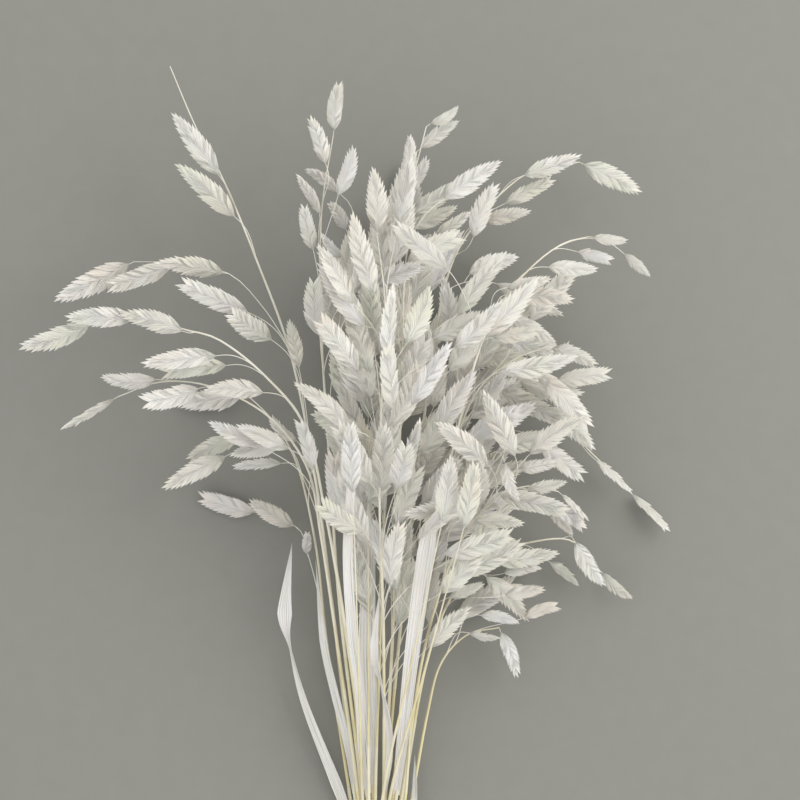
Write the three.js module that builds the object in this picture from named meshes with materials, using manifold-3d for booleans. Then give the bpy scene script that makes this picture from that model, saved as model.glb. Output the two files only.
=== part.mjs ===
// Dried northern sea oats: a loose bunch of sixteen bleached stems of a woodland grass, cut and laid
// on a flat surface. Each leafy stem is one solid: its culm, its thin branches, its flat seed heads
// (the oats) and its leaf. Millimetres, +Z up. +Y runs from the cut ends to the seed heads, and the
// origin is on the surface, under the lowest stem, where a hand would hold the bunch.

import * as THREE from 'three';
import Module from 'manifold-3d';

const wasm = await Module();
wasm.setup();

// The culms, and how they lie on each other where the bunch is held.
const CULM_RADIUS = 1.5;
const CULM_TIP_RADIUS = 0.7;
const STALK_SIDES = 4;
const FLAT_SIDE_DEPTH = CULM_RADIUS * Math.cos(Math.PI / STALK_SIDES);
const CULM_SPACING = 2.95;
const LAYER_RISE = 2.45;
const CUT_END_Y = -124;
const CUT_STAGGER = 2.5;
const CUT_END_SPREAD = 1.4;
const HOLD_Y = 10;
const TAPER_START = 2;

// The thin branches of the seed heads.
const BRANCH_RADIUS = 0.75;
const BRANCH_TIP_RADIUS = 0.6;
const BRANCH_REACH = 0.5;
const BRANCH_LIFTS = [0, 5, -5, 10, -10, 15, -15, 20];

// One oat: a flat pointed head of overlapping florets, whose tips make teeth along both edges.
const OAT_LENGTH = [34, 46];
const OAT_WIDTH = [11, 13.2];
const OAT_WIDTH_SHARE = 0.33;
const OAT_THICKNESS = 2.3;
const OAT_TEETH = 3;
const TOOTH_PITCH = 0.26;
const RIDGE_START = 0.07;
const TIP_START = 0.26;
const VALLEY_START = 0.19;
const NOTCH_START = 0.255;
const NOTCH_DEPTH = 0.3;
const OAT_SKEW = 0.8;
const OAT_BLUNTNESS = 0.7;
const END_SWELL = 0.55;
const VALLEY_DEPTH = 0.42;
const OAT_YAW = [8, 26];
const OAT_PITCH = 14;
const OAT_ROLL = 36;
const OAT_BEND = 2;
const OAT_ARCH = 0.7;
const ARCHING_NOD = 0.28;
const UPRIGHT_NOD = -0.6;
const STALK_RADIUS = 0.42;
const SIDE_STALK = 5.5;
const END_STALK = 2.5;
const STALK_LEAN = 2.2;

// The room that an oat keeps clear, as shares of its length and width: a long narrow box at its middle
// and a short broad one at its widest place.
const NARROW_ROOM = { middle: 0.5, length: 1, width: 0.6 };
const BROAD_ROOM = { middle: 0.43, length: 0.54, width: 1 };

// Turns in degrees, up, over and aside, that an oat tries until it hangs clear of what is there already.
const OAT_SWINGS = [
  [0, 0, 0], [8, 0, 0], [-8, 0, 0], [15, 12, 0], [-15, -12, 0], [22, 0, 0], [-22, 0, 0],
  [10, 35, 0], [-10, -35, 0], [30, 0, 0], [-30, 0, 0], [0, 48, 0], [0, 0, 20], [0, 0, -20],
  [20, 0, 24], [-20, 0, -24], [20, -42, 0], [-20, 42, 0], [20, 0, -24], [-20, 0, 24], [40, 0, 0],
  [-40, 0, 0], [0, 45, 40], [0, -45, -40], [35, 0, 40], [-35, 0, -40], [35, 0, -40], [-35, 0, 40],
];

const LEAF_THICKNESS = 0.9;
const LEAF_ROOT_SHARE = 0.6;
const CLEARANCE = 0.35;
const DICE_SEED = 20719;
const DICE_STEP = 16807;
const DICE_RANGE = 2147483647;

const STRAW = 0xd9cfb2;
const BLEACHED = 0xe9e5dc;

// The stems. layer and place say where the culm lies in the bunch. The route goes on from there, point
// by point, and places along it count the cut end as 0, the hold as 1 and the first route point as 2.
// tip: x and y that the point of the culm's last oat lies over, and how far that oat is rolled.
// oats: [place, side] on the culm itself, side 1 on the left and -1 on the right.
// sprays: [place, one list per oat on the branch: x, y, z of its foot, x, y under its point, roll].
// branches: [place, x, y, z of the branch's end, number of oats].
// leaf: where it leaves the culm, then [x, y, z, width, twist in degrees], ending in a point.
const STEMS = [
  {
    name: 'leafy_stem_01',
    layer: 1,
    place: -2.5,
    route: [
      [-13, 70, 7], [-25, 173, 22], [-34, 243, 34], [-47, 310, 45], [-66, 363, 52], [-83, 404, 55],
      [-98, 433, 56], [-112, 466, 56],
    ],
    bareTip: true,
    sprays: [
      [6.9, [-84, 405, 60, -111, 441]], [6.3, [-75, 383, 58, -110, 414]],
      [5.1, [-80, 354, 66, -123, 360], [-108, 360, 56, -147, 346], [-132, 361, 46, -176, 339]],
      [5, [-67, 332, 72, -108, 350]], [4.8, [-55, 317, 62, -88, 340]],
      [4.5, [-42, 301, 60, -48, 330]],
    ],
    leaf: {
      at: 2,
      points: [
        [-17, 98, 15, 4, 0], [-24, 127, 22, 4.4, 15], [-30, 156, 29, 4, 10], [-34, 200, 34, 0, 0],
      ],
    },
  },
  {
    name: 'leafy_stem_02',
    nod: UPRIGHT_NOD,
    layer: 1,
    place: -1.5,
    route: [
      [-9, 70, 11], [-21, 175, 32], [-27, 265, 46], [-30, 312, 52], [-31, 352, 58], [-30, 390, 62],
      [-24, 428, 64],
    ],
    tip: [-20, 458],
    sprays: [
      [7.4, [-27, 410, 72, -37, 439]], [6.5, [-22, 393, 72, -13, 423]],
      [6.4, [-31, 383, 68, -27, 411]], [6, [-34, 364, 66, -40, 393]],
      [5.8, [-20, 397, 52, -40, 411]], [5.6, [-16, 376, 54, -29, 397]],
      [5.4, [-18, 361, 62, -33, 378]], [5, [-14, 340, 74, -7, 372]],
      [4.9, [-30, 340, 68, -27, 361]],
    ],
    branches: [[4.5, -31, 318, 60, 2], [4, -19, 338, 48, 1]],
  },
  {
    name: 'leafy_stem_03',
    layer: 2,
    place: -1,
    route: [
      [-6, 70, 18], [-18, 165, 48], [-28, 225, 64], [-39, 272, 76], [-60, 299, 84], [-84, 318, 86],
      [-104, 324, 84], [-128, 331, 76], [-152, 327, 66],
    ],
    tip: [-194, 314],
    sprays: [
      [8, [-101, 322, 90, -138, 332]], [8.6, [-127, 330, 82, -167, 330]],
      [6.2, [-83, 310, 92, -126, 305]], [6, [-78, 305, 80, -118, 300]],
      [5.3, [-58, 290, 90, -93, 291]],
    ],
    leaf: {
      at: 2,
      points: [
        [-9, 98, 34, 4, 0], [-10, 128, 47, 5, 0], [-14, 165, 63, 5.6, 10],
        [-16, 205, 80, 5.4, -12], [-14, 240, 93, 4.6, 0], [-11, 272, 99, 0, 0],
      ],
    },
  },
  {
    name: 'leafy_stem_04',
    layer: 2,
    place: -2,
    route: [
      [-11, 70, 15.5], [-23, 160, 40], [-31, 215, 54], [-38, 250, 64], [-58, 277, 70],
      [-88, 293, 70], [-116, 296, 64], [-140, 288, 56],
    ],
    tip: [-171, 270, 70],
    sprays: [
      [7.8, [-116, 297, 68, -149, 299, 55]], [7, [-93, 293, 76, -133, 284]],
      [4.8, [-62, 261, 76, -91, 275]], [4.5, [-45, 259, 80, -76, 273]],
      [4.2, [-50, 262, 60, -81, 256], [-80, 257, 50, -117, 238]],
      [4.3, [-34, 246, 88, -43, 277, 20]],
    ],
  },
  {
    name: 'leafy_stem_05',
    layer: 0,
    place: -3,
    route: [
      [-16, 70, 3], [-28, 150, 9], [-34, 205, 15], [-44, 250, 20], [-58, 275, 17], [-72, 289, 8],
    ],
    tip: [-112, 285],
    sprays: [
      [3.2, [-38, 200, 16, -50, 216], [-44, 216, 14, -72, 232], [-65, 224, 5, -100, 234]],
      [5, [-50, 252, 34, -80, 250, 50]], [5.5, [-74, 266, 40, -104, 253]],
      [4.8, [-42, 262, 40, -59, 278]],
    ],
    leaf: {
      at: 1.5,
      points: [
        [-23, 75, 7, 6, 0], [-40, 119, 14, 4, 10], [-48, 150, 20, 2.6, 70],
        [-51, 170, 24, 8.4, 12], [-47, 208, 25, 0, 0],
      ],
    },
  },
  {
    name: 'leafy_stem_06',
    nod: UPRIGHT_NOD,
    layer: 0,
    place: -2,
    route: [[-10, 70, 3], [-14, 160, 9], [-14, 240, 13], [-12, 300, 13], [-6, 345, 9], [4, 372, 3]],
    oats: [[6.5, 1], [6, -1], [5.5, 1]],
    branches: [
      [5, -16, 330, 18, 2], [4, -20, 285, 24, 2], [4, 8, 300, 22, 2], [5, 16, 345, 16, 2],
      [3.5, 2, 256, 24, 1],
    ],
  },
  {
    name: 'leafy_stem_07',
    nod: UPRIGHT_NOD,
    layer: 2,
    place: 0,
    route: [[3, 70, 20], [3, 160, 54], [1, 230, 80], [2, 285, 96], [4, 335, 106], [0, 372, 106]],
    branches: [
      [5.5, -11, 335, 116, 2], [5, -8, 300, 112, 3], [5, 14, 314, 114, 2], [4.5, -12, 270, 104, 3],
      [4.5, 16, 282, 108, 3], [6, 10, 372, 108, 2], [4, -2, 240, 98, 3], [3.5, 12, 236, 90, 2],
      [3.5, -6, 214, 84, 2],
    ],
    leaf: {
      at: 2,
      points: [
        [6, 90, 34, 3.4, 0], [6, 108, 45, 4, 30], [2, 132, 57, 3.6, 80], [-2, 150, 65, 5, 20],
        [1, 184, 75, 0, 0],
      ],
    },
  },
  {
    name: 'leafy_stem_08',
    nod: UPRIGHT_NOD,
    layer: 0,
    place: -1,
    route: [
      [-3, 70, 4], [0, 160, 20], [5, 250, 38], [8, 315, 52], [11, 352, 60], [16, 392, 64],
      [26, 433, 64],
    ],
    tip: [44, 445],
    oats: [[6.5, -1]],
    sprays: [
      [7.6, [21, 420, 58, 44, 437]], [7, [15, 402, 74, 17, 429]], [6.8, [13, 397, 51, 27, 418]],
      [6, [0, 386, 60, -4, 405]], [5.8, [1, 361, 76, 4, 396]],
    ],
    branches: [
      [5, 25, 342, 44, 2], [5, -8, 350, 70, 3], [4, 16, 290, 54, 3], [4, -7, 305, 62, 3],
      [3.5, -12, 246, 46, 2], [4, 18, 262, 56, 2],
    ],
    leaf: {
      at: 2,
      points: [
        [-4, 105, 17, 7, 0], [-6, 151, 30, 9.6, -10], [-5, 200, 43, 7, 10], [-5, 236, 52, 0, 0],
      ],
    },
  },
  {
    name: 'leafy_stem_09',
    nod: UPRIGHT_NOD,
    layer: 1,
    place: -0.5,
    route: [[3, 70, 12], [8, 160, 36], [11, 240, 60], [13, 300, 74], [14, 345, 82], [17, 384, 86]],
    tip: [45, 403],
    sprays: [
      [6, [33, 391, 100, 66, 413]], [6.5, [15, 377, 78, 43, 390]], [6.3, [29, 373, 84, 50, 387]],
      [6.1, [15, 366, 74, 29, 375]], [6, [13, 357, 94, 47, 374]], [5.6, [-4, 346, 88, 30, 359]],
    ],
    branches: [
      [5, 7, 345, 90, 1], [5, 40, 330, 84, 2], [4.5, 36, 300, 80, 2], [4, 30, 268, 80, 2],
      [3.5, 22, 228, 66, 2], [3.5, 8, 250, 74, 2],
    ],
  },
  {
    name: 'leafy_stem_10',
    layer: 0,
    place: 0,
    route: [
      [4, 70, 4], [12, 160, 14], [23, 260, 28], [35, 343, 42], [50, 378, 50], [78, 407, 52],
      [109, 415, 44],
    ],
    tip: [143, 398],
    sprays: [
      [6.9, [76, 406, 60, 110, 418]], [6.5, [66, 391, 50, 96, 406]], [5.8, [50, 371, 64, 65, 404]],
      [5.9, [55, 382, 54, 84, 388]],
    ],
    branches: [[5, 62, 350, 36, 2], [4.5, 60, 320, 30, 2]],
  },
  {
    name: 'leafy_stem_11',
    layer: 2,
    place: 1,
    route: [
      [10, 70, 16], [22, 165, 46], [38, 250, 74], [53, 310, 88], [66, 338, 94], [82, 357, 96],
      [98, 369, 94], [112, 373, 88],
    ],
    tip: [134, 371],
    sprays: [
      [7.5, [130, 366, 78, 146, 352]], [7.6, [104, 366, 78, 127, 360]],
      [6.5, [88, 357, 86, 119, 356]], [6, [69, 342, 84, 106, 339]], [5.8, [66, 345, 102, 93, 351]],
      [5.5, [69, 332, 78, 96, 316]],
    ],
    branches: [[4.5, 62, 300, 96, 2], [4, 46, 262, 90, 2], [5, 56, 318, 104, 1]],
    leaf: {
      at: 2,
      points: [
        [13, 100, 34, 6, 0], [19, 155, 56, 8.4, 15], [26, 205, 72, 9.6, 0], [33, 248, 83, 0, 0],
      ],
    },
  },
  {
    name: 'leafy_stem_12',
    layer: 1,
    place: 0.5,
    route: [[8, 70, 9], [18, 160, 26], [32, 230, 44], [50, 285, 58], [70, 306, 64], [91, 315, 62]],
    tip: [119, 304],
    sprays: [
      [5.9, [94, 296, 52, 128, 301]], [5.4, [59, 319, 82, 87, 324]], [5, [69, 286, 48, 92, 277]],
    ],
    branches: [
      [5.5, 80, 326, 72, 2], [5, 74, 296, 52, 2], [4.5, 52, 300, 48, 3], [3.5, 34, 214, 56, 2],
      [4, 62, 258, 60, 2], [3.5, 46, 238, 42, 2], [3, 28, 192, 42, 1], [4.5, 42, 308, 66, 1],
    ],
  },
  {
    name: 'leafy_stem_13',
    layer: 0,
    place: 1,
    route: [
      [9, 70, 3], [18, 150, 9], [34, 215, 16], [58, 262, 22], [88, 282, 23], [117, 257, 14],
      [138, 236, 5],
    ],
    tip: [160, 213, 60],
    sprays: [
      [6.9, [117, 255, 22, 139, 235, 60]], [5.9, [90, 284, 32, 119, 258]],
      [5.4, [85, 265, 40, 114, 243]], [5.2, [60, 275, 52, 90, 267, 40]],
    ],
    branches: [[5, 78, 290, 16, 2]],
  },
  {
    name: 'leafy_stem_14',
    layer: 1,
    place: 1.5,
    route: [
      [13, 70, 10], [25, 150, 34], [42, 205, 54], [62, 232, 66], [80, 240, 68], [97, 237, 62],
    ],
    tip: [114, 221, 65],
    sprays: [
      [5.9, [90, 232, 56, 113, 215]], [5.8, [90, 229, 46, 106, 212]],
      [5.2, [77, 238, 76, 102, 243]], [5, [74, 248, 68, 98, 253]], [4.8, [67, 255, 84, 76, 231]],
      [4.6, [65, 256, 78, 53, 238]], [4.5, [55, 231, 50, 93, 231]], [4, [49, 222, 76, 79, 220]],
      [3.8, [54, 213, 48, 77, 208]], [2.8, [25, 150, 42, 51, 175]],
    ],
    branches: [[5, 60, 250, 84, 2], [4.5, 50, 228, 78, 2], [3.5, 40, 190, 52, 1]],
  },
  {
    name: 'leafy_stem_15',
    layer: 0,
    place: 2,
    route: [
      [14, 70, 3], [26, 140, 9], [42, 182, 16], [64, 202, 22], [92, 210, 22], [108, 208, 18],
      [121, 193, 10],
    ],
    tip: [140, 177],
    sprays: [
      [6.8, [106, 211, 26, 124, 184, 15]], [5.8, [92, 199, 14, 110, 184, -20]],
      [4.8, [60, 199, 42, 102, 203]], [4.6, [66, 191, 24, 94, 197, 0]], [4.3, [57, 192, 30, 82, 165, 10]],
      [4, [66, 180, 40, 91, 184, 10]], [3.8, [36, 178, 38, 58, 187, -12]],
    ],
  },
  {
    name: 'leafy_stem_16',
    layer: 0,
    place: 3,
    route: [[19, 70, 6], [27, 115, 16], [34, 142, 24], [48, 158, 28], [66, 162, 24]],
    tip: [76, 134],
    sprays: [
      [5.5, [77, 167, 34, 100, 174]], [4.9, [53, 170, 40, 77, 165]], [4.6, [47, 160, 34, 67, 157]],
    ],
    leaf: {
      at: 1.5,
      points: [[19, 60, 10, 3, 0], [20, 74, 13, 3, 30], [20, 92, 15, 0, 0]],
    },
  },
];

const UP = new THREE.Vector3(0, 0, 1);
const radians = THREE.MathUtils.degToRad;
const lerp = THREE.MathUtils.lerp;
const cross = (a, b) => new THREE.Vector3().crossVectors(a, b);

let dice = DICE_SEED;

function draw(low, high) {
  dice = (dice * DICE_STEP) % DICE_RANGE;
  return low + (high - low) * (dice / DICE_RANGE);
}

// A closed solid through rings of points. A last ring of one point makes a tip. The diagonals
// alternate, so that the upper and the lower face of a flat piece are split alike.
function loft(rings) {
  const count = rings[0].length;
  const faces = [];
  for (let k = 1; k < count - 1; k += 1) {
    faces.push([0, k, k + 1]);
  }
  rings.slice(1).forEach((ring, index) => {
    const base = index * count;
    const next = base + count;
    for (let k = 0; k < count; k += 1) {
      const turn = (k + 1) % count;
      if (ring.length === 1) {
        faces.push([base + k, next, base + turn]);
      } else if (k % 2 === 0) {
        faces.push([base + k, next + turn, base + turn], [base + k, next + k, next + turn]);
      } else {
        faces.push([base + k, next + k, base + turn], [base + turn, next + k, next + turn]);
      }
    }
  });
  if (rings.at(-1).length > 1) {
    const last = (rings.length - 1) * count;
    for (let k = 1; k < count - 1; k += 1) {
      faces.push([last, last + k + 1, last + k]);
    }
  }
  const points = rings.flat().flatMap((point) => point.toArray());
  return new wasm.Manifold(new wasm.Mesh({
    numProp: 3,
    vertProperties: new Float32Array(points),
    triVerts: new Uint32Array(faces.flat()),
  }));
}

// Two directions square to a heading: one level, to its right, and one as near to up as it allows.
function crossAxes(heading) {
  const right = cross(heading, UP).normalize();
  return [right, cross(right, heading)];
}

// A section of a round stalk, with a flat side down.
function stalkRing(centre, heading, radius) {
  const [right, up] = crossAxes(heading);
  return Array.from({ length: STALK_SIDES }, (_, k) => {
    const angle = ((k + 0.5) * 2 * Math.PI) / STALK_SIDES;
    return centre.clone()
      .addScaledVector(right, radius * Math.cos(angle))
      .addScaledVector(up, radius * Math.sin(angle));
  });
}

// A flat section: two edges, and a ridge above and below. The edges may lie ahead of the ridges.
function flatRing(ridge, edge, wide, face, halfWidth, halfHeight) {
  return [
    edge.clone().addScaledVector(wide, halfWidth),
    ridge.clone().addScaledVector(face, halfHeight),
    edge.clone().addScaledVector(wide, -halfWidth),
    ridge.clone().addScaledVector(face, -halfHeight),
  ];
}

// A box round a piece, to keep other pieces clear of it. part is the stalk, leaf or oat that it bounds.
function pieceBox(stem, part, centre, axes, half) {
  return { stem, part, centre, axes, half, reach: Math.hypot(...half) };
}

function stalkBoxes(stem, part, points, radii) {
  return points.slice(1).map((end, index) => {
    const start = points[index];
    const heading = end.clone().sub(start);
    const half = [heading.length() / 2, radii[index], radii[index]];
    heading.normalize();
    const centre = start.clone().lerp(end, 0.5);
    return pieceBox(stem, part, centre, [heading, ...crossAxes(heading)], half);
  });
}

// Two boxes are apart when some direction shows a gap between them: one of their own six
// directions, or the one square to the long side of both.
function apart(a, b) {
  const between = b.centre.clone().sub(a.centre);
  if (between.length() > a.reach + b.reach + CLEARANCE) {
    return true;
  }
  const across = cross(a.axes[0], b.axes[0]);
  const directions = [...a.axes, ...b.axes];
  if (across.length() > 0.01) {
    directions.push(across.normalize());
  }
  return directions.some((direction) => {
    const spans = [a, b].map((box) => box.axes.reduce(
      (sum, axis, index) => sum + box.half[index] * Math.abs(axis.dot(direction)),
      0,
    ));
    return Math.abs(between.dot(direction)) > spans[0] + spans[1] + CLEARANCE;
  });
}

const placed = [];

// A new piece keeps above the surface and clear of all that is placed, but for what it may meet.
function hasRoom(boxes, mayMeet) {
  return boxes.every((box) => {
    const depth = box.axes.reduce((sum, axis, i) => sum + box.half[i] * Math.abs(axis.z), 0);
    return box.centre.z >= depth && placed.every((other) => mayMeet(other) || apart(box, other));
  });
}

function culmCurve(stem, index) {
  const x = stem.place * CULM_SPACING;
  const z = FLAT_SIDE_DEPTH + stem.layer * LAYER_RISE;
  const cut = new THREE.Vector3(x * CUT_END_SPREAD, CUT_END_Y - CUT_STAGGER * (index % 5), z);
  const hold = new THREE.Vector3(x, HOLD_Y, z);
  const route = stem.route.map((point) => new THREE.Vector3(...point));
  return new THREE.CatmullRomCurve3([cut, hold, ...route], false, 'catmullrom', 0.5);
}

// The culm at one place along its route: where it is, where it heads and how thick it is there.
function culmAt(curve, place) {
  const last = curve.points.length - 1;
  const isStraight = place <= 1;
  const share = THREE.MathUtils.clamp((place - TAPER_START) / (last - TAPER_START), 0, 1);
  return {
    point: curve.getPoint(place / last),
    heading: isStraight
      ? curve.points[1].clone().sub(curve.points[0]).normalize()
      : curve.getTangent(place / last),
    radius: lerp(CULM_RADIUS, CULM_TIP_RADIUS, share),
  };
}

function culmStations(curve) {
  const last = curve.points.length - 1;
  const stations = [culmAt(curve, 0)];
  for (let place = 1; place <= last; place += 0.5) {
    stations.push(culmAt(curve, place));
  }
  return stations;
}

function leafStations(curve, leaf) {
  const root = culmAt(curve, leaf.at).point;
  const points = leaf.points.map(([x, y, z]) => new THREE.Vector3(x, y, z));
  const route = new THREE.CatmullRomCurve3([root, ...points], false, 'catmullrom', 0.5);
  const widths = [leaf.points[0][3] * LEAF_ROOT_SHARE, ...leaf.points.map((point) => point[3])];
  const twists = [0, ...leaf.points.map((point) => point[4])];
  const last = points.length;
  return Array.from({ length: 2 * last + 1 }, (_, step) => {
    const place = step / 2;
    const low = Math.floor(place);
    const high = Math.min(low + 1, last);
    const heading = route.getTangent(place / last);
    const [right, up] = crossAxes(heading);
    const twist = radians(lerp(twists[low], twists[high], place - low));
    return {
      point: route.getPoint(place / last),
      heading,
      wide: right.clone().multiplyScalar(Math.cos(twist)).addScaledVector(up, Math.sin(twist)),
      face: up.clone().multiplyScalar(Math.cos(twist)).addScaledVector(right, -Math.sin(twist)),
      width: lerp(widths[low], widths[high], place - low),
    };
  });
}

function leafSolid(stations) {
  const rings = stations.slice(0, -1).map(({ point, wide, face, width }) => (
    flatRing(point, point, wide, face, width / 2, LEAF_THICKNESS / 2)
  ));
  return loft([...rings, [stations.at(-1).point]]);
}

function leafBoxes(stem, stations) {
  return stations.slice(1).map((end, index) => {
    const start = stations[index];
    const heading = end.point.clone().sub(start.point);
    const half = [heading.length() / 2, Math.max(start.width, end.width) / 2, LEAF_THICKNESS];
    heading.normalize();
    const face = start.face.clone().add(end.face);
    face.addScaledVector(heading, -face.dot(heading)).normalize();
    const centre = start.point.clone().lerp(end.point, 0.5);
    return pieceBox(stem, 'leaf', centre, [heading, cross(heading, face), face], half);
  });
}

// How full the oat's outline is, at a share of its length.
function fullness(share) {
  return Math.sin(Math.PI * share ** OAT_SKEW) ** OAT_BLUNTNESS;
}

// The chance part of an oat, drawn once, so that a second try at a swing draws nothing new.
function oatDraws(stem, side) {
  return {
    length: draw(...OAT_LENGTH),
    width: draw(...OAT_WIDTH),
    yaw: side * draw(...OAT_YAW),
    pitch: draw(-OAT_PITCH, OAT_PITCH),
    roll: OAT_ROLL * draw(-1, 1) ** 3,
    bend: draw(-OAT_BEND, OAT_BEND),
    arch: draw(-OAT_ARCH, OAT_ARCH),
    stalk: side === 0 ? END_STALK : SIDE_STALK,
    nod: stem.nod ?? ARCHING_NOD,
  };
}

// The draws of an oat whose foot and point are given. It doesn't nod.
function laidDraws(stem, foot, [toX, toY, roll]) {
  const draws = oatDraws(stem, 0);
  const length = Math.hypot(toX - foot.x, toY - foot.y) - END_STALK;
  const width = Math.min(draws.width, length * OAT_WIDTH_SHARE);
  return { ...draws, length, width, nod: 0, roll: roll ?? draws.roll };
}

// A level direction that points as the heading does from above, turned by an angle to the left.
function turned(heading, angle) {
  const along = new THREE.Vector3(heading.x, heading.y, 0).normalize();
  return new THREE.Vector3(
    along.x * Math.cos(angle) - along.y * Math.sin(angle),
    along.x * Math.sin(angle) + along.y * Math.cos(angle),
    0,
  );
}

// An oat hung from a root, turned by a swing. On an arching stem it nods towards the cut ends, as it
// grew, and on an upright one it rises away from them.
function hangOat(root, heading, draws, [pitchSwing, rollSwing, yawSwing]) {
  const yaw = radians(draws.yaw);
  const pitch = radians(draws.pitch + pitchSwing);
  const roll = radians(draws.roll + rollSwing);
  const level = turned(heading, yaw + radians(yawSwing));
  level.y -= draws.nod;
  level.normalize();
  const axis = level.clone().multiplyScalar(Math.cos(pitch)).addScaledVector(UP, Math.sin(pitch));
  const [right, up] = crossAxes(axis);
  const wide = right.clone().multiplyScalar(Math.cos(roll)).addScaledVector(up, Math.sin(roll));
  const face = up.clone().multiplyScalar(Math.cos(roll)).addScaledVector(right, -Math.sin(roll));
  const stalk = turned(heading, yaw * STALK_LEAN).addScaledVector(UP, heading.z).normalize();
  const base = root.clone().addScaledVector(stalk, draws.stalk);
  return { ...draws, root, base, stalk, axis, wide, face };
}

function oatPoint(oat, share) {
  const bow = 4 * share * (1 - share);
  return oat.base.clone()
    .addScaledVector(oat.axis, share * oat.length)
    .addScaledVector(oat.wide, oat.bend * bow)
    .addScaledVector(oat.face, oat.arch * bow);
}

function oatBox(stem, oat, room) {
  const half = [
    (oat.length * room.length) / 2,
    (oat.width * room.width + OAT_BEND) / 2,
    (OAT_THICKNESS + OAT_ARCH) / 2,
  ];
  const centre = oatPoint({ ...oat, bend: oat.bend / 2, arch: oat.arch / 2 }, room.middle);
  return pieceBox(stem, 'oat', centre, [oat.axis, oat.wide, oat.face], half);
}

// The oat from its base to its point. Ridges run back from the tips of the teeth to the middle, and a
// valley lies before each next ridge.
function oatRings(oat) {
  const section = (middle, edge, widthShare, heightShare) => flatRing(
    oatPoint(oat, middle),
    oatPoint(oat, edge),
    oat.wide,
    oat.face,
    (oat.width / 2) * fullness(edge) * widthShare,
    (OAT_THICKNESS / 2) * lerp(END_SWELL, 1, Math.sin(Math.PI * middle)) * heightShare,
  );
  const rings = [flatRing(oat.base, oat.base, oat.wide, oat.face, STALK_RADIUS, STALK_RADIUS)];
  for (let tooth = 0; tooth < OAT_TEETH; tooth += 1) {
    const start = tooth * TOOTH_PITCH;
    rings.push(section(RIDGE_START + start, TIP_START + start, 1, 1));
    if (tooth < OAT_TEETH - 1) {
      rings.push(section(
        VALLEY_START + start,
        NOTCH_START + start,
        1 - NOTCH_DEPTH,
        1 - VALLEY_DEPTH,
      ));
    }
  }
  return [...rings, [oatPoint(oat, 1)]];
}

// Finds the first swing in which an oat has room, and keeps that room, or gives null where none has.
// Only its stalk and its narrow ends may meet the part of the stem that it grows from.
function hangClear(stem, parent, root, heading, draws) {
  for (const swing of OAT_SWINGS) {
    const oat = hangOat(root, heading, draws, swing);
    const broad = oatBox(stem, oat, BROAD_ROOM);
    const narrow = [
      oatBox(stem, oat, NARROW_ROOM),
      ...stalkBoxes(stem, parent, [oat.root, oat.base], [STALK_RADIUS]),
    ];
    const isParent = (other) => other.stem === stem && other.part === parent;
    if (hasRoom([broad], () => false) && hasRoom(narrow, isParent)) {
      placed.push(broad, ...narrow);
      return oat;
    }
  }
  return null;
}

// An oat beside a stalk, on a short stalk of its own that is rooted in the middle of it.
function sideOat(stem, parent, root, heading, draws) {
  const oat = hangClear(stem, parent, root, heading, draws);
  return oat && loft([stalkRing(root, oat.stalk, STALK_RADIUS), ...oatRings(oat)]);
}

// The solid of a stalk through its rings, with an oat on its end where that has room.
function stalkWithOat(stem, part, rings, end, heading, draws) {
  const oat = hangClear(stem, part, end, heading, draws);
  return loft(oat ? [...rings, ...oatRings(oat)] : rings);
}

function levelWay(from, [toX, toY]) {
  return new THREE.Vector3(toX - from.x, toY - from.y, 0).normalize();
}

// Whether a branch has room. It may meet all of its own stem but the oats.
function branchHasRoom(stem, boxes) {
  return hasRoom(boxes, (other) => other.stem === stem && other.part !== 'oat');
}

// A spray leaves its culm as a branch does, passes the foot of each of its oats and ends in the last.
function spraySolids(stem, part, curve, [place, ...laid]) {
  const { point: root, heading } = culmAt(curve, place);
  for (const lift of BRANCH_LIFTS) {
    const feet = laid.map(([x, y, z]) => new THREE.Vector3(x, y, z + lift));
    const straight = feet[0].clone().sub(root);
    const reach = straight.length() * BRANCH_REACH;
    const bend = root.clone().addScaledVector(straight.normalize().add(heading).normalize(), reach);
    const points = [root, root.clone().lerp(feet[0], 0.5).lerp(bend, 0.5), ...feet];
    const boxes = stalkBoxes(stem, part, points, points.map(() => BRANCH_RADIUS));
    if (branchHasRoom(stem, boxes)) {
      placed.push(...boxes);
      const last = points.length - 1;
      const route = new THREE.CatmullRomCurve3(points, false, 'catmullrom', 0.5);
      const rings = points.map((point, step) => stalkRing(
        point,
        route.getTangent(step / last),
        lerp(BRANCH_RADIUS, BRANCH_TIP_RADIUS, step / last),
      ));
      return feet.map((foot, index) => {
        const target = laid[index].slice(3);
        const draws = laidDraws(stem, foot, target);
        return index === feet.length - 1
          ? stalkWithOat(stem, part, rings, foot, levelWay(foot, target), draws)
          : sideOat(stem, part, foot, levelWay(foot, target), draws);
      });
    }
  }
  return [];
}

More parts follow.
